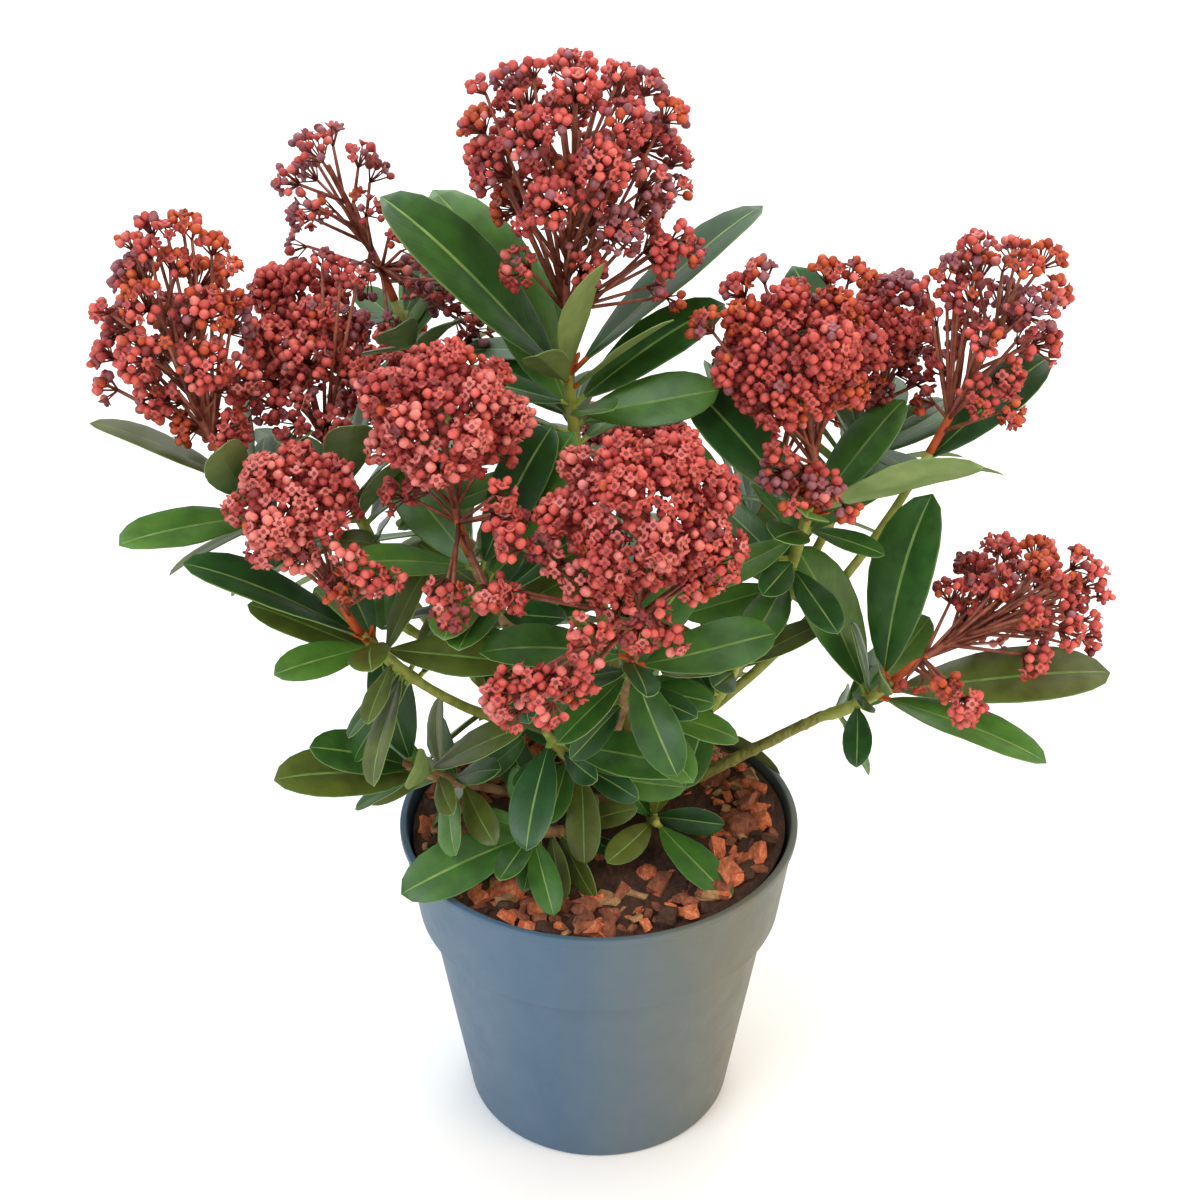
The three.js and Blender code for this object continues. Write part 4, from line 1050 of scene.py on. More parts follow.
sideCymes = {  # more cymes that stand out: x, y, z, radius, and a colour where it isn't left to the shares
    "top": [(-44, 22, 434, 8), (-42, 22, 424, 8), (-32, 22, 450, 8), (18, 22, 448, 8), (26, 22, 438, 8),
        (29, 22, 421, 8), (30, 22, 410, 7), (-4, 2, 385, 8), (-29, 0, 387, 9), (30, 6, 396, 7),
        (34, 6, 392, 7), (21, 6, 377, 6), (28, 6, 373, 6), (-24, 20, 454, 6), (-30, 20, 454, 6),
        (-42, 20, 448, 6)],
    "left_rear": [(-119, 58, 375, 7), (-94, 58, 360, 8), (-80, 60, 366, 8), (-66, 58, 355, 9),
        (-54, 56, 343, 9), (-112, 55, 417, 7), (-73, 48, 368, 8), (-66, 48, 362, 8), (-59, 48, 357, 8),
        (-53, 48, 349, 8), (-47, 48, 342, 7), (-81, 30, 355, 7), (-79, 45, 384, 8), (-74, 45, 378, 7),
        (-90, 40, 375, 6)],
    "left_outer": [(-163, 5, 401, 7), (-151, 5, 402, 7), (-141, 5, 394, 7), (-160, -8, 338, 8),
        (-155, -8, 327, 8), (-140, -8, 344, 8), (-183, -8, 356, 7), (-183, -8, 343, 7), (-156, 0, 401, 6),
        (-147, 0, 401, 6), (-135, 0, 387, 7), (-170, 0, 397, 6), (-185, 0, 355, 5), (-187, 0, 341, 5),
        (-133, 0, 375, 6), (-131, 0, 327, 5), (-138, 0, 311, 4)],
    "left_inner": [(-127, 8, 356, 8), (-103, 4, 322, 8), (-134, 0, 338, 8), (-125, 0, 333, 8),
        (-117, 0, 324, 8), (-102, 10, 387, 6), (-95, 10, 383, 6), (-89, 10, 380, 6)],
    "centre": [(-32, -56, 312, 9), (-74, -40, 314, 8, 1), (-66, -40, 317, 8, 0), (-34, -72, 330, 7),
        (-35, -72, 322, 8)],
    "left_front": [(-91, -62, 290, 8), (-89, -72, 307, 7), (-86, -72, 302, 7), (-80, -72, 297, 7),
        (-73, -72, 296, 6)],
    "front": [(-4, -100, 284, 8), (-35, -100, 267, 7, 0), (-30, -100, 270, 8, 1), (-24, -100, 272, 8, 1),
        (-18, -100, 273, 8, 0), (-11, -100, 275, 7, 0), (-27, -100, 264, 6, 5), (-5, -100, 272, 7, 1),
        (-10, -100, 268, 7, 0), (-31, -100, 257, 7, 1), (-35, -100, 260, 7, 0), (-30, -84, 317, 8),
        (-20, -80, 314, 7), (-15, -80, 309, 7), (-7, -84, 302, 8), (2, -84, 299, 8), (-33, -80, 297, 7),
        (-28, -80, 294, 7), (33, -80, 300, 8), (39, -80, 302, 8), (44, -80, 308, 8), (47, -80, 315, 7),
        (19, -98, 297, 7), (24, -98, 292, 7), (27, -98, 287, 6)],
    "right_inner": [(60, -8, 357, 8), (72, -14, 338, 9), (90, 4, 338, 8), (76, -27, 316, 9),
        (66, -28, 326, 7), (66, -28, 316, 8), (70, -44, 313, 6), (75, -46, 310, 6, 3),
        (82, -46, 308, 6, 3), (93, -28, 302, 6, 3), (39, -8, 368, 8), (52, 6, 377, 8, 0),
        (60, 6, 383, 8, 4), (85, 6, 383, 8, 3), (93, 6, 383, 8, 3)],
    "right_rear": [(121, 34, 333, 8), (108, 22, 328, 8), (98, 20, 342, 8), (128, 28, 329, 6)],
    "right_outer": [(134, 24, 338, 8), (127, 18, 326, 7), (140, 26, 354, 7), (136, 22, 380, 8, 4),
        (142, 22, 388, 8, 0), (134, 22, 368, 7, 0), (131, 24, 376, 6), (135, 24, 383, 6),
        (128, 24, 358, 6), (124, 24, 371, 5), (160, 8, 357, 7)],
    "right_low": [(139, -6, 255, 8, 1), (147, -6, 246, 8, 0), (152, -6, 256, 8, 1), (189, -6, 268, 8, 1),
        (195, -6, 259, 7, 0), (132, -46, 234, 6, 3), (144, -46, 226, 7, 0), (197, -6, 264, 6),
        (200, -6, 254, 6), (112, -34, 229, 5, 3), (120, -26, 226, 5, 3), (127, -26, 224, 5, 3)],
}
orangeHeads = {"left_outer", "right_outer", "right_inner", "right_rear"}  # their highest cymes are orange
redShares = {  # of budCrimson, budCoral, budRose, budOrange, budMauve, budDeep
    "usual": (0.28, 0.36, 0.14, 0.06, 0.04, 0.12),
    "top": (0.34, 0.24, 0.08, 0.06, 0.18, 0.10),
    "left_rear": (0.30, 0.10, 0.06, 0.02, 0.40, 0.12),
    "left_outer": (0.26, 0.32, 0.08, 0.16, 0.10, 0.08),
    "left_inner": (0.38, 0.26, 0.08, 0.06, 0.10, 0.12),
    "centre": (0.18, 0.42, 0.34, 0.02, 0.00, 0.04),
    "front": (0.16, 0.42, 0.36, 0.02, 0.00, 0.04),
    "left_front": (0.18, 0.38, 0.38, 0.02, 0.00, 0.04),
    "right_outer": (0.28, 0.22, 0.06, 0.20, 0.16, 0.08),
    "right_inner": (0.36, 0.24, 0.06, 0.14, 0.08, 0.12),
    "right_rear": (0.36, 0.24, 0.06, 0.14, 0.08, 0.12),
    "right_low": (0.24, 0.36, 0.16, 0.12, 0.04, 0.08),
}
crimsonIndex, orangeIndex, throatShadeIndex = 0, 3, 5
budPieces = {  # which heads go in which piece
    "buds_left": ["left_rear", "left_outer", "left_inner", "left_front"],
    "buds_middle": ["top", "centre", "front"],
    "buds_right": ["right_inner", "right_rear", "right_outer", "right_low"],
    "buds_rear": ["rear_left", "rear_right", "rear_low"],
}
budForm = {"around": 8, "up": 4, "lobes": 4, "lobeDepth": 0.05, "topNarrowing": 0.12, "length": 1.12}
floretForm = {
    "rim": ((1.2, 0.42), (1.1, 0.3), (0.74, 0.02), (1.1, 0.3)),  # reach, height: petal tip, side, notch, side
    "lipReach": (0.46, 0.46, 0.36, 0.46), "lipHeight": 0.16, "foot": -0.9, "throat": 0.02,
}
twigTaper = 0.72


def budTemplate():
    # closed bud: four sepals show as faint lobes round it
    bm = bmesh.new()
    bmesh.ops.create_uvsphere(bm, u_segments=budForm["around"], v_segments=budForm["up"], radius=1)
    for v in bm.verts:
        turn = math.atan2(v.co.y, v.co.x)
        lobe = 1 + budForm["lobeDepth"] * math.cos(budForm["lobes"] * turn) - budForm["topNarrowing"] * v.co.z
        v.co.x *= lobe
        v.co.y *= lobe
        v.co.z *= budForm["length"]
    return readTemplate(bm)


def floretTemplate(petals):
    # open flower: broad cupped petals with notches between them, round a sunken throat painted dark red as
    # shade
    bm = bmesh.new()
    steps = len(floretForm["rim"])
    count = petals * steps
    rim, lip = (bmesh.ops.create_circle(bm, cap_ends=False, segments=count, radius=1)["verts"]
                for ring in range(2))
    for k in range(count):
        turn = 2 * math.pi * k / count
        reach, height = floretForm["rim"][k % steps]
        rim[k].co = (reach * math.cos(turn), reach * math.sin(turn), height)
        reach = floretForm["lipReach"][k % steps]
        lip[k].co = (reach * math.cos(turn), reach * math.sin(turn), floretForm["lipHeight"])
    foot = bm.verts.new((0, 0, floretForm["foot"]))
    throat = bm.verts.new((0, 0, floretForm["throat"]))
    for k in range(count):
        after = (k + 1) % count
        bm.faces.new((foot, rim[after], rim[k]))
        bm.faces.new((rim[k], rim[after], lip[after], lip[k]))
        bm.faces.new((throat, lip[k], lip[after])).material_index = 1
    bmesh.ops.recalc_face_normals(bm, faces=bm.faces[:])
    return readTemplate(bm)


def twigTemplate(sides):
    bm = bmesh.new()
    bmesh.ops.create_cone(bm, cap_ends=True, segments=sides, radius1=1, radius2=twigTaper, depth=1)
    bmesh.ops.translate(bm, verts=bm.verts[:], vec=(0, 0, 0.5))
    return readTemplate(bm)


def stampAlong(template, starts, ends, radii):
    # one copy from each start to its end
    starts, ends, radii = np.array(starts), np.array(ends), np.array(radii)
    axes = ends - starts
    lengths = np.linalg.norm(axes, axis=1)
    axes = axes / lengths[:, None]
    reference = np.where(np.abs(axes[:, :1]) > 0.8, [[0.0, 1, 0]], [[1.0, 0, 0]])
    first = np.cross(reference, axes)
    first = first / np.linalg.norm(first, axis=1)[:, None]
    second = np.cross(axes, first)
    x, y, z = template["vertices"].T
    copies = starts[:, None, :] + axes[:, None, :] * (lengths[:, None] * z[None, :])[:, :, None]
    copies = copies + first[:, None, :] * (radii[:, None] * x[None, :])[:, :, None]
    copies = copies + second[:, None, :] * (radii[:, None] * y[None, :])[:, :, None]
    return copies * mm


spiralRule = {"jitter": 0.12, "leastSine": 0.3}


def spiralDirections(axis, count, lowest, random):
    first, second = sidesOf(axis)
    for k in range(count):
        cosine = 1 - (1 - lowest) * (k + 0.5) / count
        sine = math.sqrt(max(1 - cosine * cosine, 0))
        jitter = spread(spiralRule["jitter"] / max(sine, spiralRule["leastSine"]), random())
        turn = math.radians(goldenAngle * k) + jitter
        yield axis * cosine + first * sine * math.cos(turn) + second * sine * math.sin(turn)


def pickFrom(shares, random):
    return int(np.searchsorted(shares, random() * shares[-1]))


def growUmbel(head, dome, foot, lowest, spacing, random, balls=(), isInner=False, main=None):
    # dome: its centre, radius, way out, and how wide and tall it is for that radius; main: its usual colour
    centre, radius, outwards, wide, tall = dome
    reach = radius - headLook["budRadius"][1]
    area = 2 * math.pi * (1 - lowest) * (reach * wide) ** 2
    shares = head["shares"]
    if main is None and not isInner:
        main = pickFrom(shares, random)
        if head["orangeAbove"] is not None and centre[2] > head["orangeAbove"]:
            main = orangeIndex if random() < headLook["orangeTops"] else main
    count = round(area / (spacing * spacing * headLook["packing"]))
    for direction in spiralDirections(outwards, count, lowest, random):
        isOpen = not isInner and random() < head["openShare"]
        size = between(headLook["openRadius"] if isOpen else headLook["budRadius"], random())
        along = direction @ outwards
        shaped = (direction - outwards * along) * wide + outwards * along * tall
        place = centre + shaped * (radius - size - headLook["sink"] * random() ** 2)
        isMain = random() < headLook["sameColour"]
        other = pickFrom(shares, random)
        if any(np.linalg.norm(place - b["centre"]) < b["radius"] - size * headLook["seam"] for b in balls):
            continue
        near = head["buds"][:head["count"]]
        gaps = ((near[:, :3] - place) ** 2).sum(axis=1)
        if (gaps < ((near[:, 3] + size) * headLook["overlap"]) ** 2).any():
            continue
        colour = crimsonIndex if isInner else main if isMain else other
        facing = unit(direction + point([spread(headLook["lean"], random()) for axis in range(3)]))
        head["buds"][head["count"]] = (*place, size, *facing, colour, isOpen)
        head["count"] += 1
        if not isInner:
            start = foot if foot is not None else place - direction * headLook["shortPedicel"]
            head["pedicels"].append((start, place, headLook["pedicelRadius"]))


def isOnLeaf(place, radius):
    return any(tooNear(blade["samples"], place[None], radius) for blade in blades)


def isWithin(place, radius, others):
    return any(np.linalg.norm(place - c["centre"]) < radius(c) for c in others)


def addFillers(shoot, own, curve, random):
    owner = "flowers_" + shoot["name"]
    centre = point(shoot["head"])
    axis = unit(centre - point(shoot["node"]))
    wide, tall = shoot["reach"]
    limbPoints, limbRadii = limbsBut(owner)
    others = [c for c in clusters if c["owner"] != owner]
    count = round(headLook["fillers"] * headLook["fillerShares"].get(shoot["name"], 1))
    made = []
    for direction in spiralDirections(axis, count, headLook["fillerLowest"], random):
        radius = between(headLook["fillerRadius"], random())
        depth = between(headLook["fillerDepth"], random())
        along = direction @ axis
        reach = direction * (wide - radius) + axis * along * (tall - wide)
        place = centre + reach * depth
        if isWithin(place, lambda c: (c["radius"] + radius) * headLook["fillerOverlap"], own + made) \
                or isWithin(place, lambda c: c["radius"] + radius, others) \
                or isOnLeaf(place, radius * headLook["fillerOverLeaf"]) \
                or tooNear(place[None], limbPoints, limbRadii + radius):
            continue
        root = curvePoint(curve, between(panicleRule["rootShares"], (along + 1) / 2 * headLook["fillerRoot"]))
        made.append({"centre": place, "radius": radius, "root": root})
    return made


def carryOnHead(shoot, index):
    random = seededRandom(seeds["buds"] + index)
    name = shoot["name"]
    curve = limbs["flowers_" + name]["curve"]
    shift = point(headLook["shifts"].get(name, (0, 0, 0)))
    lobeShift = point(headLook["lobeShifts"].get(name, shift))
    own = [{**c, "centre": c["centre"] + (shift if c["isPressed"] else lobeShift)} for c in clusters
           if c["owner"] == "flowers_" + name]
    centre = point(shoot["head"]) + shift
    axis = unit(centre - point(shoot["node"]))
    isTipped = name in orangeHeads
    head = {
        # one row for each bud: x, y, z, radius, the way it faces (x, y, z), colour, whether it's open
        "buds": np.zeros((headLook["mostBuds"], 9)), "count": 0, "pedicels": [], "branches": [],
        "shares": np.cumsum(redShares.get(name, redShares["usual"])),
        "openShare": headLook["openShares"].get(name, headLook["openShare"]),
        "orangeAbove": centre[2] + shoot["reach"][1] * headLook["orangeFrom"] if isTipped else None,
    }
    spacing = headLook["spacings"].get(name, headLook["budSpacing"])
    pressed = [c for c in own if c["isPressed"]]
    loose = [c for c in own if not c["isPressed"]]
    balls = []
    for c in pressed:
        if not c["isCore"] and unit(c["centre"] - centre) @ axis < headLook["hangingBelow"]:
            c["radius"] *= between(headLook["hangingPuffs"], random())
            c["root"] = curvePoint(curve, headLook["hangingRoot"])
            loose.append(c)
            continue
        if not c["isCore"]:
            c["radius"] *= between(headLook["puffs"].get(name, headLook["pressedPuffs"]), random())
        balls.append(c)
    for c in balls:
        others = [b for b in balls if b is not c]
        outwards = axis if c["isCore"] else unit(c["centre"] - centre)
        lowest = headLook["innerLowest"] if c["isCore"] else headLook["pressedLowest"]
        growUmbel(head, (c["centre"], c["radius"], outwards, 1, 1), None, lowest, spacing, random, others)
        growUmbel(head, (c["centre"], c["radius"] - headLook["innerStep"], outwards, 1, 1), None,
                  headLook["innerLowest"], headLook["innerSpacing"], random, isInner=True)
    if not pressed:
        loose += addFillers(shoot, own, curve, random)
    for x, y, z, radius, *colour in sideCymes.get(name, []):
        if isOnLeaf(point((x, y, z)), radius * headLook["cymeOverLeaf"]):
            print(f"{name}: no room for the side cyme at {x}, {y}, {z}")
            continue
        loose.append({"centre": point((x, y, z)), "radius": radius, "colour": colour[0] if colour else None,
                      "root": curvePoint(curve, headLook["cymeRoot"])})
    lowest = headLook["lowest"].get(name, headLook["looseLowest"])
    for c in loose:
        fromHead = unit(c["centre"] - centre + axis * headLook["upFromHead"])
        outwards = unit(unit(c["centre"] - c["root"]) + headLook["outFromHead"] * fromHead)
        foot = c["centre"] - outwards * c["radius"] * headLook["footBelow"]
        head["branches"].append((c["root"], foot, headLook["branchRadius"]))
        dome = (c["centre"], c["radius"], outwards, headLook["looseWide"], headLook["looseTall"])
        growUmbel(head, dome, foot, lowest, spacing, random, main=c.get("colour"))
    return head


bud = budTemplate()
fourPetals, fivePetals = floretTemplate(4), floretTemplate(5)
twigs = {"branches": (twigTemplate(5), 0), "pedicels": (twigTemplate(3), 2)}  # and their material
stalkLook = {"sides": 8, "steps": 12, "redTo": 0.3}
heads = {s["name"]: carryOnHead(s, index) for index, s in enumerate(shoots) if "head" in s}


def makeBuds():
    for pieceName, names in budPieces.items():
        rows = np.concatenate([heads[name]["buds"][:heads[name]["count"]] for name in names])
        parts = []
        opened = rows[:, 8] == 1
        isFive = rows[:, 4] > headLook["fivePetalsFrom"]
        for mould, wanted in ((bud, ~opened), (fourPetals, opened & ~isFive), (fivePetals, opened & isFive)):
            chosen = rows[wanted]
            places, sizes, facing, colours = chosen[:, :3], chosen[:, 3], chosen[:, 4:7], chosen[:, 7]
            shaped = stampAlong(mould, places, places + facing * sizes[:, None], sizes)
            kinds = np.repeat(colours.astype(int), len(mould["sizes"]))
            # the throat faces take the deep red bud colour as painted shade
            kinds[np.tile(mould["kinds"], len(chosen)) == 1] = throatShadeIndex
            parts.append(stamp(mould, shaped, kinds))
        piece = joinParts(pieceName, parts, reds)
        settle(piece, ["flowers_" + name for name in names])
        print(f"{pieceName}: {len(rows)} buds and florets, {len(piece.data.polygons)} faces")


def makeStalks():
    template = limbTemplate(stalkLook["sides"], stalkLook["steps"])
    starts = np.concatenate([[0], np.cumsum(template["sizes"])[:-1]])
    height = np.add.reduceat(template["vertices"][template["loops"]][:, 2], starts) / template["sizes"]
    kinds = np.where(height < stalkLook["redTo"], 1, 0)
    parts = []
    for name, head in heads.items():
        limb = limbs["flowers_" + name]
        shaped = shapeLimb(template, limb, lambda t, angle: between(panicleRule["stalkRadii"], t))
        parts.append(stamp(template, shaped[None], kinds))
        for key, (mould, kind) in twigs.items():
            parts.append(stamp(mould, stampAlong(mould, *zip(*head[key])), kind))
    return joinParts("flower_stalks", parts, [stalkRed, petioleRed, pedicelSkin])


makeBuds()
stalkPiece = makeStalks()
settle(stalkPiece, ["flowers_" + name for name in heads])
print(f"stalks: {len(stalkPiece.data.polygons)} faces")


# Pot: one profile spun round, thin wall, stepped collar, rolled lip and drain holes

potLook = {"collarHeight": 42, "collarFoot": 78.5, "bodyTop": 74.3, "base": 59, "wall": 1.8, "floor": 2.4,
           "lip": 1.2, "lipHeight": 3, "lipSlope": 1, "collarSlope": 0.5, "steps": 128, "rounding": 0.7,
           "roundSegments": 3, "footRing": 1.2, "ringFrom": 7, "ringTo": 6, "ringEdge": 1, "edgeRise": 1.5,
           "drainHoles": 5, "drainRadius": 5, "drainCircle": 42, "drillSides": 20, "drillDepth": 12,
           "mergeWithin": 0.01, "sharpFrom": 40}


def spinProfile(bm, corners, rounding, segments, steps):
    verts = [bm.verts.new((r * mm, 0, z * mm)) for r, z in corners]
    for a, b in zip(verts, verts[1:]):
        bm.edges.new((a, b))
    bmesh.ops.bevel(bm, geom=verts[1:-1], offset=rounding * mm, offset_type="OFFSET", segments=segments,
                    profile=0.5, affect="VERTICES", material=-1, clamp_overlap=True)
    bmesh.ops.spin(bm, geom=bm.verts[:] + bm.edges[:], cent=(0, 0, 0), axis=(0, 0, 1), angle=2 * math.pi,
                   steps=steps, use_merge=True, use_duplicate=False)
    bmesh.ops.remove_doubles(bm, verts=bm.verts[:], dist=potLook["mergeWithin"] * mm)
    bmesh.ops.recalc_face_normals(bm, faces=bm.faces[:])


def addFromBmesh(name, bm):
    mesh = bpy.data.meshes.new(name)
    bm.to_mesh(mesh)
    bm.free()
    return addObject(name, mesh)


def makePot():
    p = potLook
    collarFoot = potTop - p["collarHeight"]
    inner = p["wall"]
    bm = bmesh.new()
    spinProfile(bm, [
        (0, p["footRing"]), (p["base"] - p["ringFrom"], p["footRing"]), (p["base"] - p["ringTo"], 0),
        (p["base"] - p["ringEdge"], 0), (p["base"], p["edgeRise"]),
        (p["bodyTop"], collarFoot - p["collarSlope"]), (p["collarFoot"], collarFoot),
        (rimRadius - p["lip"], potTop - p["lipHeight"] - p["lipSlope"]), (rimRadius, potTop - p["lipHeight"]),
        (rimRadius, potTop), (rimRadius - inner - p["lip"], potTop),
        (p["collarFoot"] - inner, collarFoot + inner), (p["bodyTop"] - inner, collarFoot + inner),
        (p["base"] - inner, p["floor"]), (0, p["floor"]),
    ], p["rounding"], p["roundSegments"], p["steps"])
    pot = addFromBmesh("pot_shell", bm)
    bm = bmesh.new()
    radius = p["drainRadius"] * mm
    for k in range(p["drainHoles"]):
        made = bmesh.ops.create_cone(bm, cap_ends=True, segments=p["drillSides"], radius1=radius,
                                     radius2=radius, depth=p["drillDepth"] * mm)["verts"]
        turn = 2 * math.pi * k / p["drainHoles"]
        bmesh.ops.translate(bm, verts=made, vec=(p["drainCircle"] * math.cos(turn) * mm,
                                                 p["drainCircle"] * math.sin(turn) * mm, 0))
    drill = addFromBmesh("drills", bm)
    cut = pot.modifiers.new("drainHoles", "BOOLEAN")
    cut.operation = "DIFFERENCE"
    cut.object = drill
    evaluated = pot.evaluated_get(bpy.context.evaluated_depsgraph_get())
    holed = bpy.data.meshes.new_from_object(evaluated)
    pot.modifiers.clear()
    pot.data = holed
    holed.name = "pot_shell"
    bpy.data.objects.remove(drill)
    holed.materials.clear()
    holed.materials.append(mouldedPlastic())
    holed.polygons.foreach_set("use_smooth", np.ones(len(holed.polygons), dtype=bool))
    holed.set_sharp_from_angle(angle=math.radians(p["sharpFrom"]))
    return pot


potPiece = makePot()
settle(potPiece, ["pot"])
print(f"pot: {len(potPiece.data.polygons)} faces")


# Growing medium: a rough bed of compost, darkened partly as painted shade, under loose bark chips

bedLook = {"sides": 96, "rings": 26, "ringStep": 28, "depth": 30, "wallGap": 0.6, "relief": 1.5,
           "ripples": ((2.3, 1.3, 3.1), (1.9, 1.7, 4.3)), "rippleShare": 0.35, "grainShare": 0.35,
           "sink": 0.6, "fadeWidth": 4, "leastFade": 0.1,
           "footGap": 6, "footShare": 0.96, "hollow": 34, "moundAt": 70, "mounds": (2.5, 8)}
chipLook = {"count": 560, "sizes": (4.5, 15), "smallBias": 1.7, "flatness": (0.28, 0.5), "width": (0.4, 0.75),
            "tilt": 0.55, "lifts": (-1.0, 3.4), "moulds": 5, "edgeGap": 1.2, "reach": 0.42, "trunkReach": 0.4,
            "taper": 0.44, "crown": 0.5, "jitter": 0.1, "jitterUp": 0.12}
chipColours = {  # name: (darker, main, lighter), with its share of the chips
    "barkChipOrange": (("#944A30", "#C26842", "#E69A70"), 0.34),
    "barkChipTan": (("#86603F", "#A87F56", "#C49C72"), 0.1),
    "barkChipBrown": (("#623626", "#8A503A", "#AA6C4A"), 0.36),
    "barkChipDark": (("#281A13", "#452E22", "#5A3E2E"), 0.2),
}
shadedBedIndex = len(chipColours) - 1
pineBark = {"stretch": (1, 0.4, 1), "fibre": 1.8, "detail": 6, "harshness": 0.7, "roughness": 0.88,
            "bump": 0.9}


def chipTemplate(seed):
    random = seededRandom(seed)
    bm = bmesh.new()
    bmesh.ops.create_cube(bm, size=1)
    bmesh.ops.subdivide_edges(bm, edges=bm.edges[:], cuts=1, use_grid_fill=True)
    for v in bm.verts:
        push = 1 - chipLook["taper"] * max(abs(v.co.x), abs(v.co.y)) * random()
        v.co.x = v.co.x * push + spread(chipLook["jitter"], random())
        v.co.y = v.co.y * push + spread(chipLook["jitter"], random())
        crown = 1 - chipLook["crown"] * (v.co.x ** 2 + v.co.y ** 2)
        v.co.z = v.co.z * crown + spread(chipLook["jitterUp"], random())
    return readTemplate(bm)


def moundAt(x, y):
    # the bark lies higher towards the wall, most of all at the back and the right
    out = math.hypot(x, y)
    share = min(max((out - bedLook["hollow"]) / (bedLook["moundAt"] - bedLook["hollow"]), 0), 1)
    back = 0.5 + 0.5 * max(x, y) / max(out, 1)
    return between(bedLook["mounds"], back) * share * share * (3 - 2 * share)


def wallRadius(z):
    foot = potTop - potLook["collarHeight"]
    return between((potLook["collarFoot"], rimRadius), (z - foot) / potLook["collarHeight"])


def bedTemplate(edge, random):
    deep = soilTop - bedLook["depth"]
    bm = bmesh.new()
    bmesh.ops.create_circle(bm, cap_ends=True, segments=bedLook["sides"], radius=edge * mm)
    disc = bm.faces[:]
    bmesh.ops.translate(bm, verts=bm.verts[:], vec=(0, 0, soilTop * mm))
    for k in range(bedLook["rings"]):
        bmesh.ops.inset_region(bm, faces=disc, thickness=edge / bedLook["ringStep"] * mm,
                               use_even_offset=True)
        disc = [f for f in disc if f.is_valid]
    for v in bm.verts:
        x, y = v.co.x / mm, v.co.y / mm
        fade = min(1, (edge - math.hypot(x, y)) / bedLook["fadeWidth"] + bedLook["leastFade"])
        rough = sum(math.sin(p / step + bend * math.sin(q / drift))
                    for (p, q), (step, bend, drift) in zip(((x, y), (y, x)), bedLook["ripples"]))
        rise = bedLook["rippleShare"] * rough + spread(bedLook["grainShare"], random()) - bedLook["sink"]
        v.co.z += bedLook["relief"] * mm * fade * rise
        v.co.z += moundAt(x, y) * mm
    rim = [e for e in bm.edges if e.is_boundary]
    drawn = bmesh.ops.extrude_edge_only(bm, edges=rim)["geom"]
    lower = [g for g in drawn if isinstance(g, bmesh.types.BMVert)]
    narrow = (wallRadius(deep) - bedLook["footGap"]) / edge * bedLook["footShare"]
    for v in lower:
        v.co.z = deep * mm
        v.co.x *= narrow
        v.co.y *= narrow
    bottom = [g for g in drawn if isinstance(g, bmesh.types.BMEdge) and all(v in lower for v in g.verts)]
    bmesh.ops.edgeloop_fill(bm, edges=bottom)
    bmesh.ops.recalc_face_normals(bm, faces=bm.faces[:])
    return readTemplate(bm)


def rotated(vertices, angles):
    turned = vertices.copy()
    for axis, angle in enumerate(angles):
        a, b = (axis + 1) % 3, (axis + 2) % 3
        ca, sa = math.cos(angle), math.sin(angle)
        turned[:, [a, b]] = np.stack([turned[:, a] * ca - turned[:, b] * sa,
                                      turned[:, a] * sa + turned[:, b] * ca], axis=1)
    return turned


def makeMedium():
    random = seededRandom(seeds["medium"])
    edge = wallRadius(soilTop) - potLook["wall"] - potLook["lip"] - bedLook["wallGap"]
    bed = bedTemplate(edge, random)
    # the compost bed takes the darkest chip colour: partly the compost's own colour, partly painted shade
    # between the chips
    parts = [stamp(bed, bed["vertices"][None], shadedBedIndex)]
    moulds = [chipTemplate(seeds["chips"] + k) for k in range(chipLook["moulds"])]
    shares = np.cumsum([share for shades, share in chipColours.values()])
    for i in range(chipLook["count"]):
        size = between(chipLook["sizes"], random() ** chipLook["smallBias"])
        turn = math.radians(goldenAngle * i)
        out = edge - chipLook["edgeGap"] - size * chipLook["reach"]
        out = out * math.sqrt((i + 0.5) / chipLook["count"])
        shape = point([size] + [size * between(chipLook[key], random()) for key in ("width", "flatness")])
        spin = random() * 2 * math.pi
        tilts = [spread(chipLook["tilt"], random()) for axis in range(2)]
        lift = between(chipLook["lifts"], random())
        kind = pickFrom(shares, random)
        mould = moulds[int(random() * len(moulds))]
        place = point((out * math.cos(turn), out * math.sin(turn), soilTop + lift))
        place[2] += moundAt(place[0], place[1])
        fromTrunk = np.linalg.norm(place[:2] - trunk["foot"][:2])
        if fromTrunk < trunk["flare"] + size * chipLook["trunkReach"]:
            continue
        turned = rotated(mould["vertices"] * shape, (*tilts, spin))
        parts.append(stamp(mould, ((turned + place) * mm)[None], kind))
    skins = [fibrousSkin(name, shades, pineBark) for name, (shades, share) in chipColours.items()]
    piece = joinParts("potting_bark", parts, skins)
    piece.data.polygons.foreach_set("use_smooth", np.zeros(len(piece.data.polygons), dtype=bool))
    return piece


mediumPiece = makeMedium()
settle(mediumPiece, ["growing_medium"])
print(f"growing medium: {len(mediumPiece.data.polygons)} faces")


# Stage, light and camera

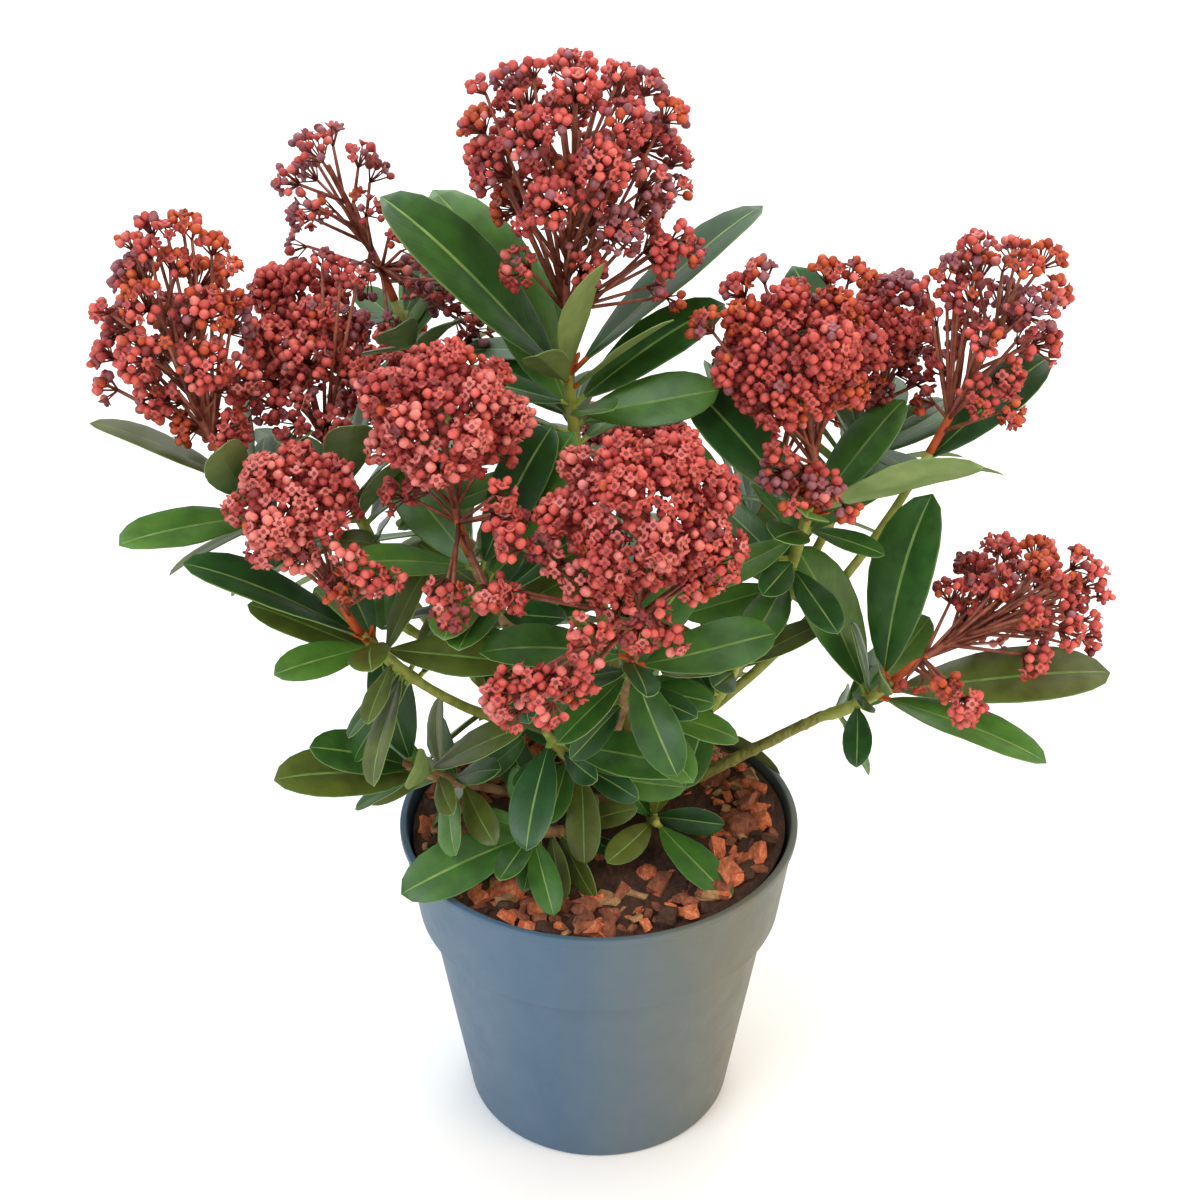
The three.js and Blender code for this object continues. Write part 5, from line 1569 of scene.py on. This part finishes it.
studio = {"floorSize": 6, "floorColours": [(0.3, "#F1F1EF"), (0.7, "#F4F4F2")], "floorRoughness": 0.75,
          "floorMottle": 3.0, "world": "#FFFFFF", "worldStrength": 0.95}
lights = {  # name: (place, aim, size, watts, colour)
    "keyLight": ((-0.9, -1.1, 1.7), (0, 0, 0.25), 1.0, 17, "#EAF2FF"),
    "fillLight": ((1.3, -0.7, 0.9), (0, 0, 0.2), 1.2, 12, "#FFDDAE"),
    "backLight": ((0.2, 1.4, 1.5), (0, 0, 0.3), 1.0, 9, "#FFFFFF"),
    "overheadLight": ((0, 1.2, 3.4), (0, 1.2, 0), 3.6, 60, "#FFFFFF"),
}


def makeFloor():
    bm = bmesh.new()
    bmesh.ops.create_grid(bm, x_segments=1, y_segments=1, size=studio["floorSize"] / 2)
    floor = addFromBmesh("studio_floor", bm)
    # matt emulsion on board
    material, tree, shader, place = newMaterial("paintedBoardPale", {"Roughness": studio["floorRoughness"]})
    noise = addNode(tree, "ShaderNodeTexNoise", {"Scale": studio["floorMottle"]}, {"Vector": place})
    connect(tree, shader, {"Base Color": addRamp(tree, noise.outputs["Fac"], studio["floorColours"])})
    floor.data.materials.append(material)


def makeLights():
    for name, (place, aim, size, watts, colour) in lights.items():
        data = bpy.data.lights.new(name, "AREA")
        data.shape = "DISK"
        data.size = size
        data.energy = watts
        data.color = srgb(colour)[:3]
        light = addObject(name, data)
        towards = unit(point(aim) - point(place))
        light.location = place
        light.rotation_euler = (math.acos(-towards[2]), 0, math.atan2(towards[0], -towards[1]) + math.pi)
    world = bpy.data.worlds.new("softRoom")
    world.use_nodes = True
    background = world.node_tree.nodes["Background"]
    background.inputs["Color"].default_value = srgb(studio["world"])
    background.inputs["Strength"].default_value = studio["worldStrength"]
    bpy.context.scene.world = world


def makeCamera():
    data = bpy.data.cameras.new("viewCamera")
    data.lens = view["lens"]
    data.sensor_width = view["sensor"]
    data.sensor_fit = "HORIZONTAL"
    camera = addObject("viewCamera", data)
    camera.location = view["eye"]
    camera.rotation_euler = (math.radians(view["pitch"]), 0, 0)
    bpy.context.scene.camera = camera


makeFloor()
makeLights()
makeCamera()
bpy.context.scene.view_settings.view_transform = "Standard"
print("stage, light and camera")
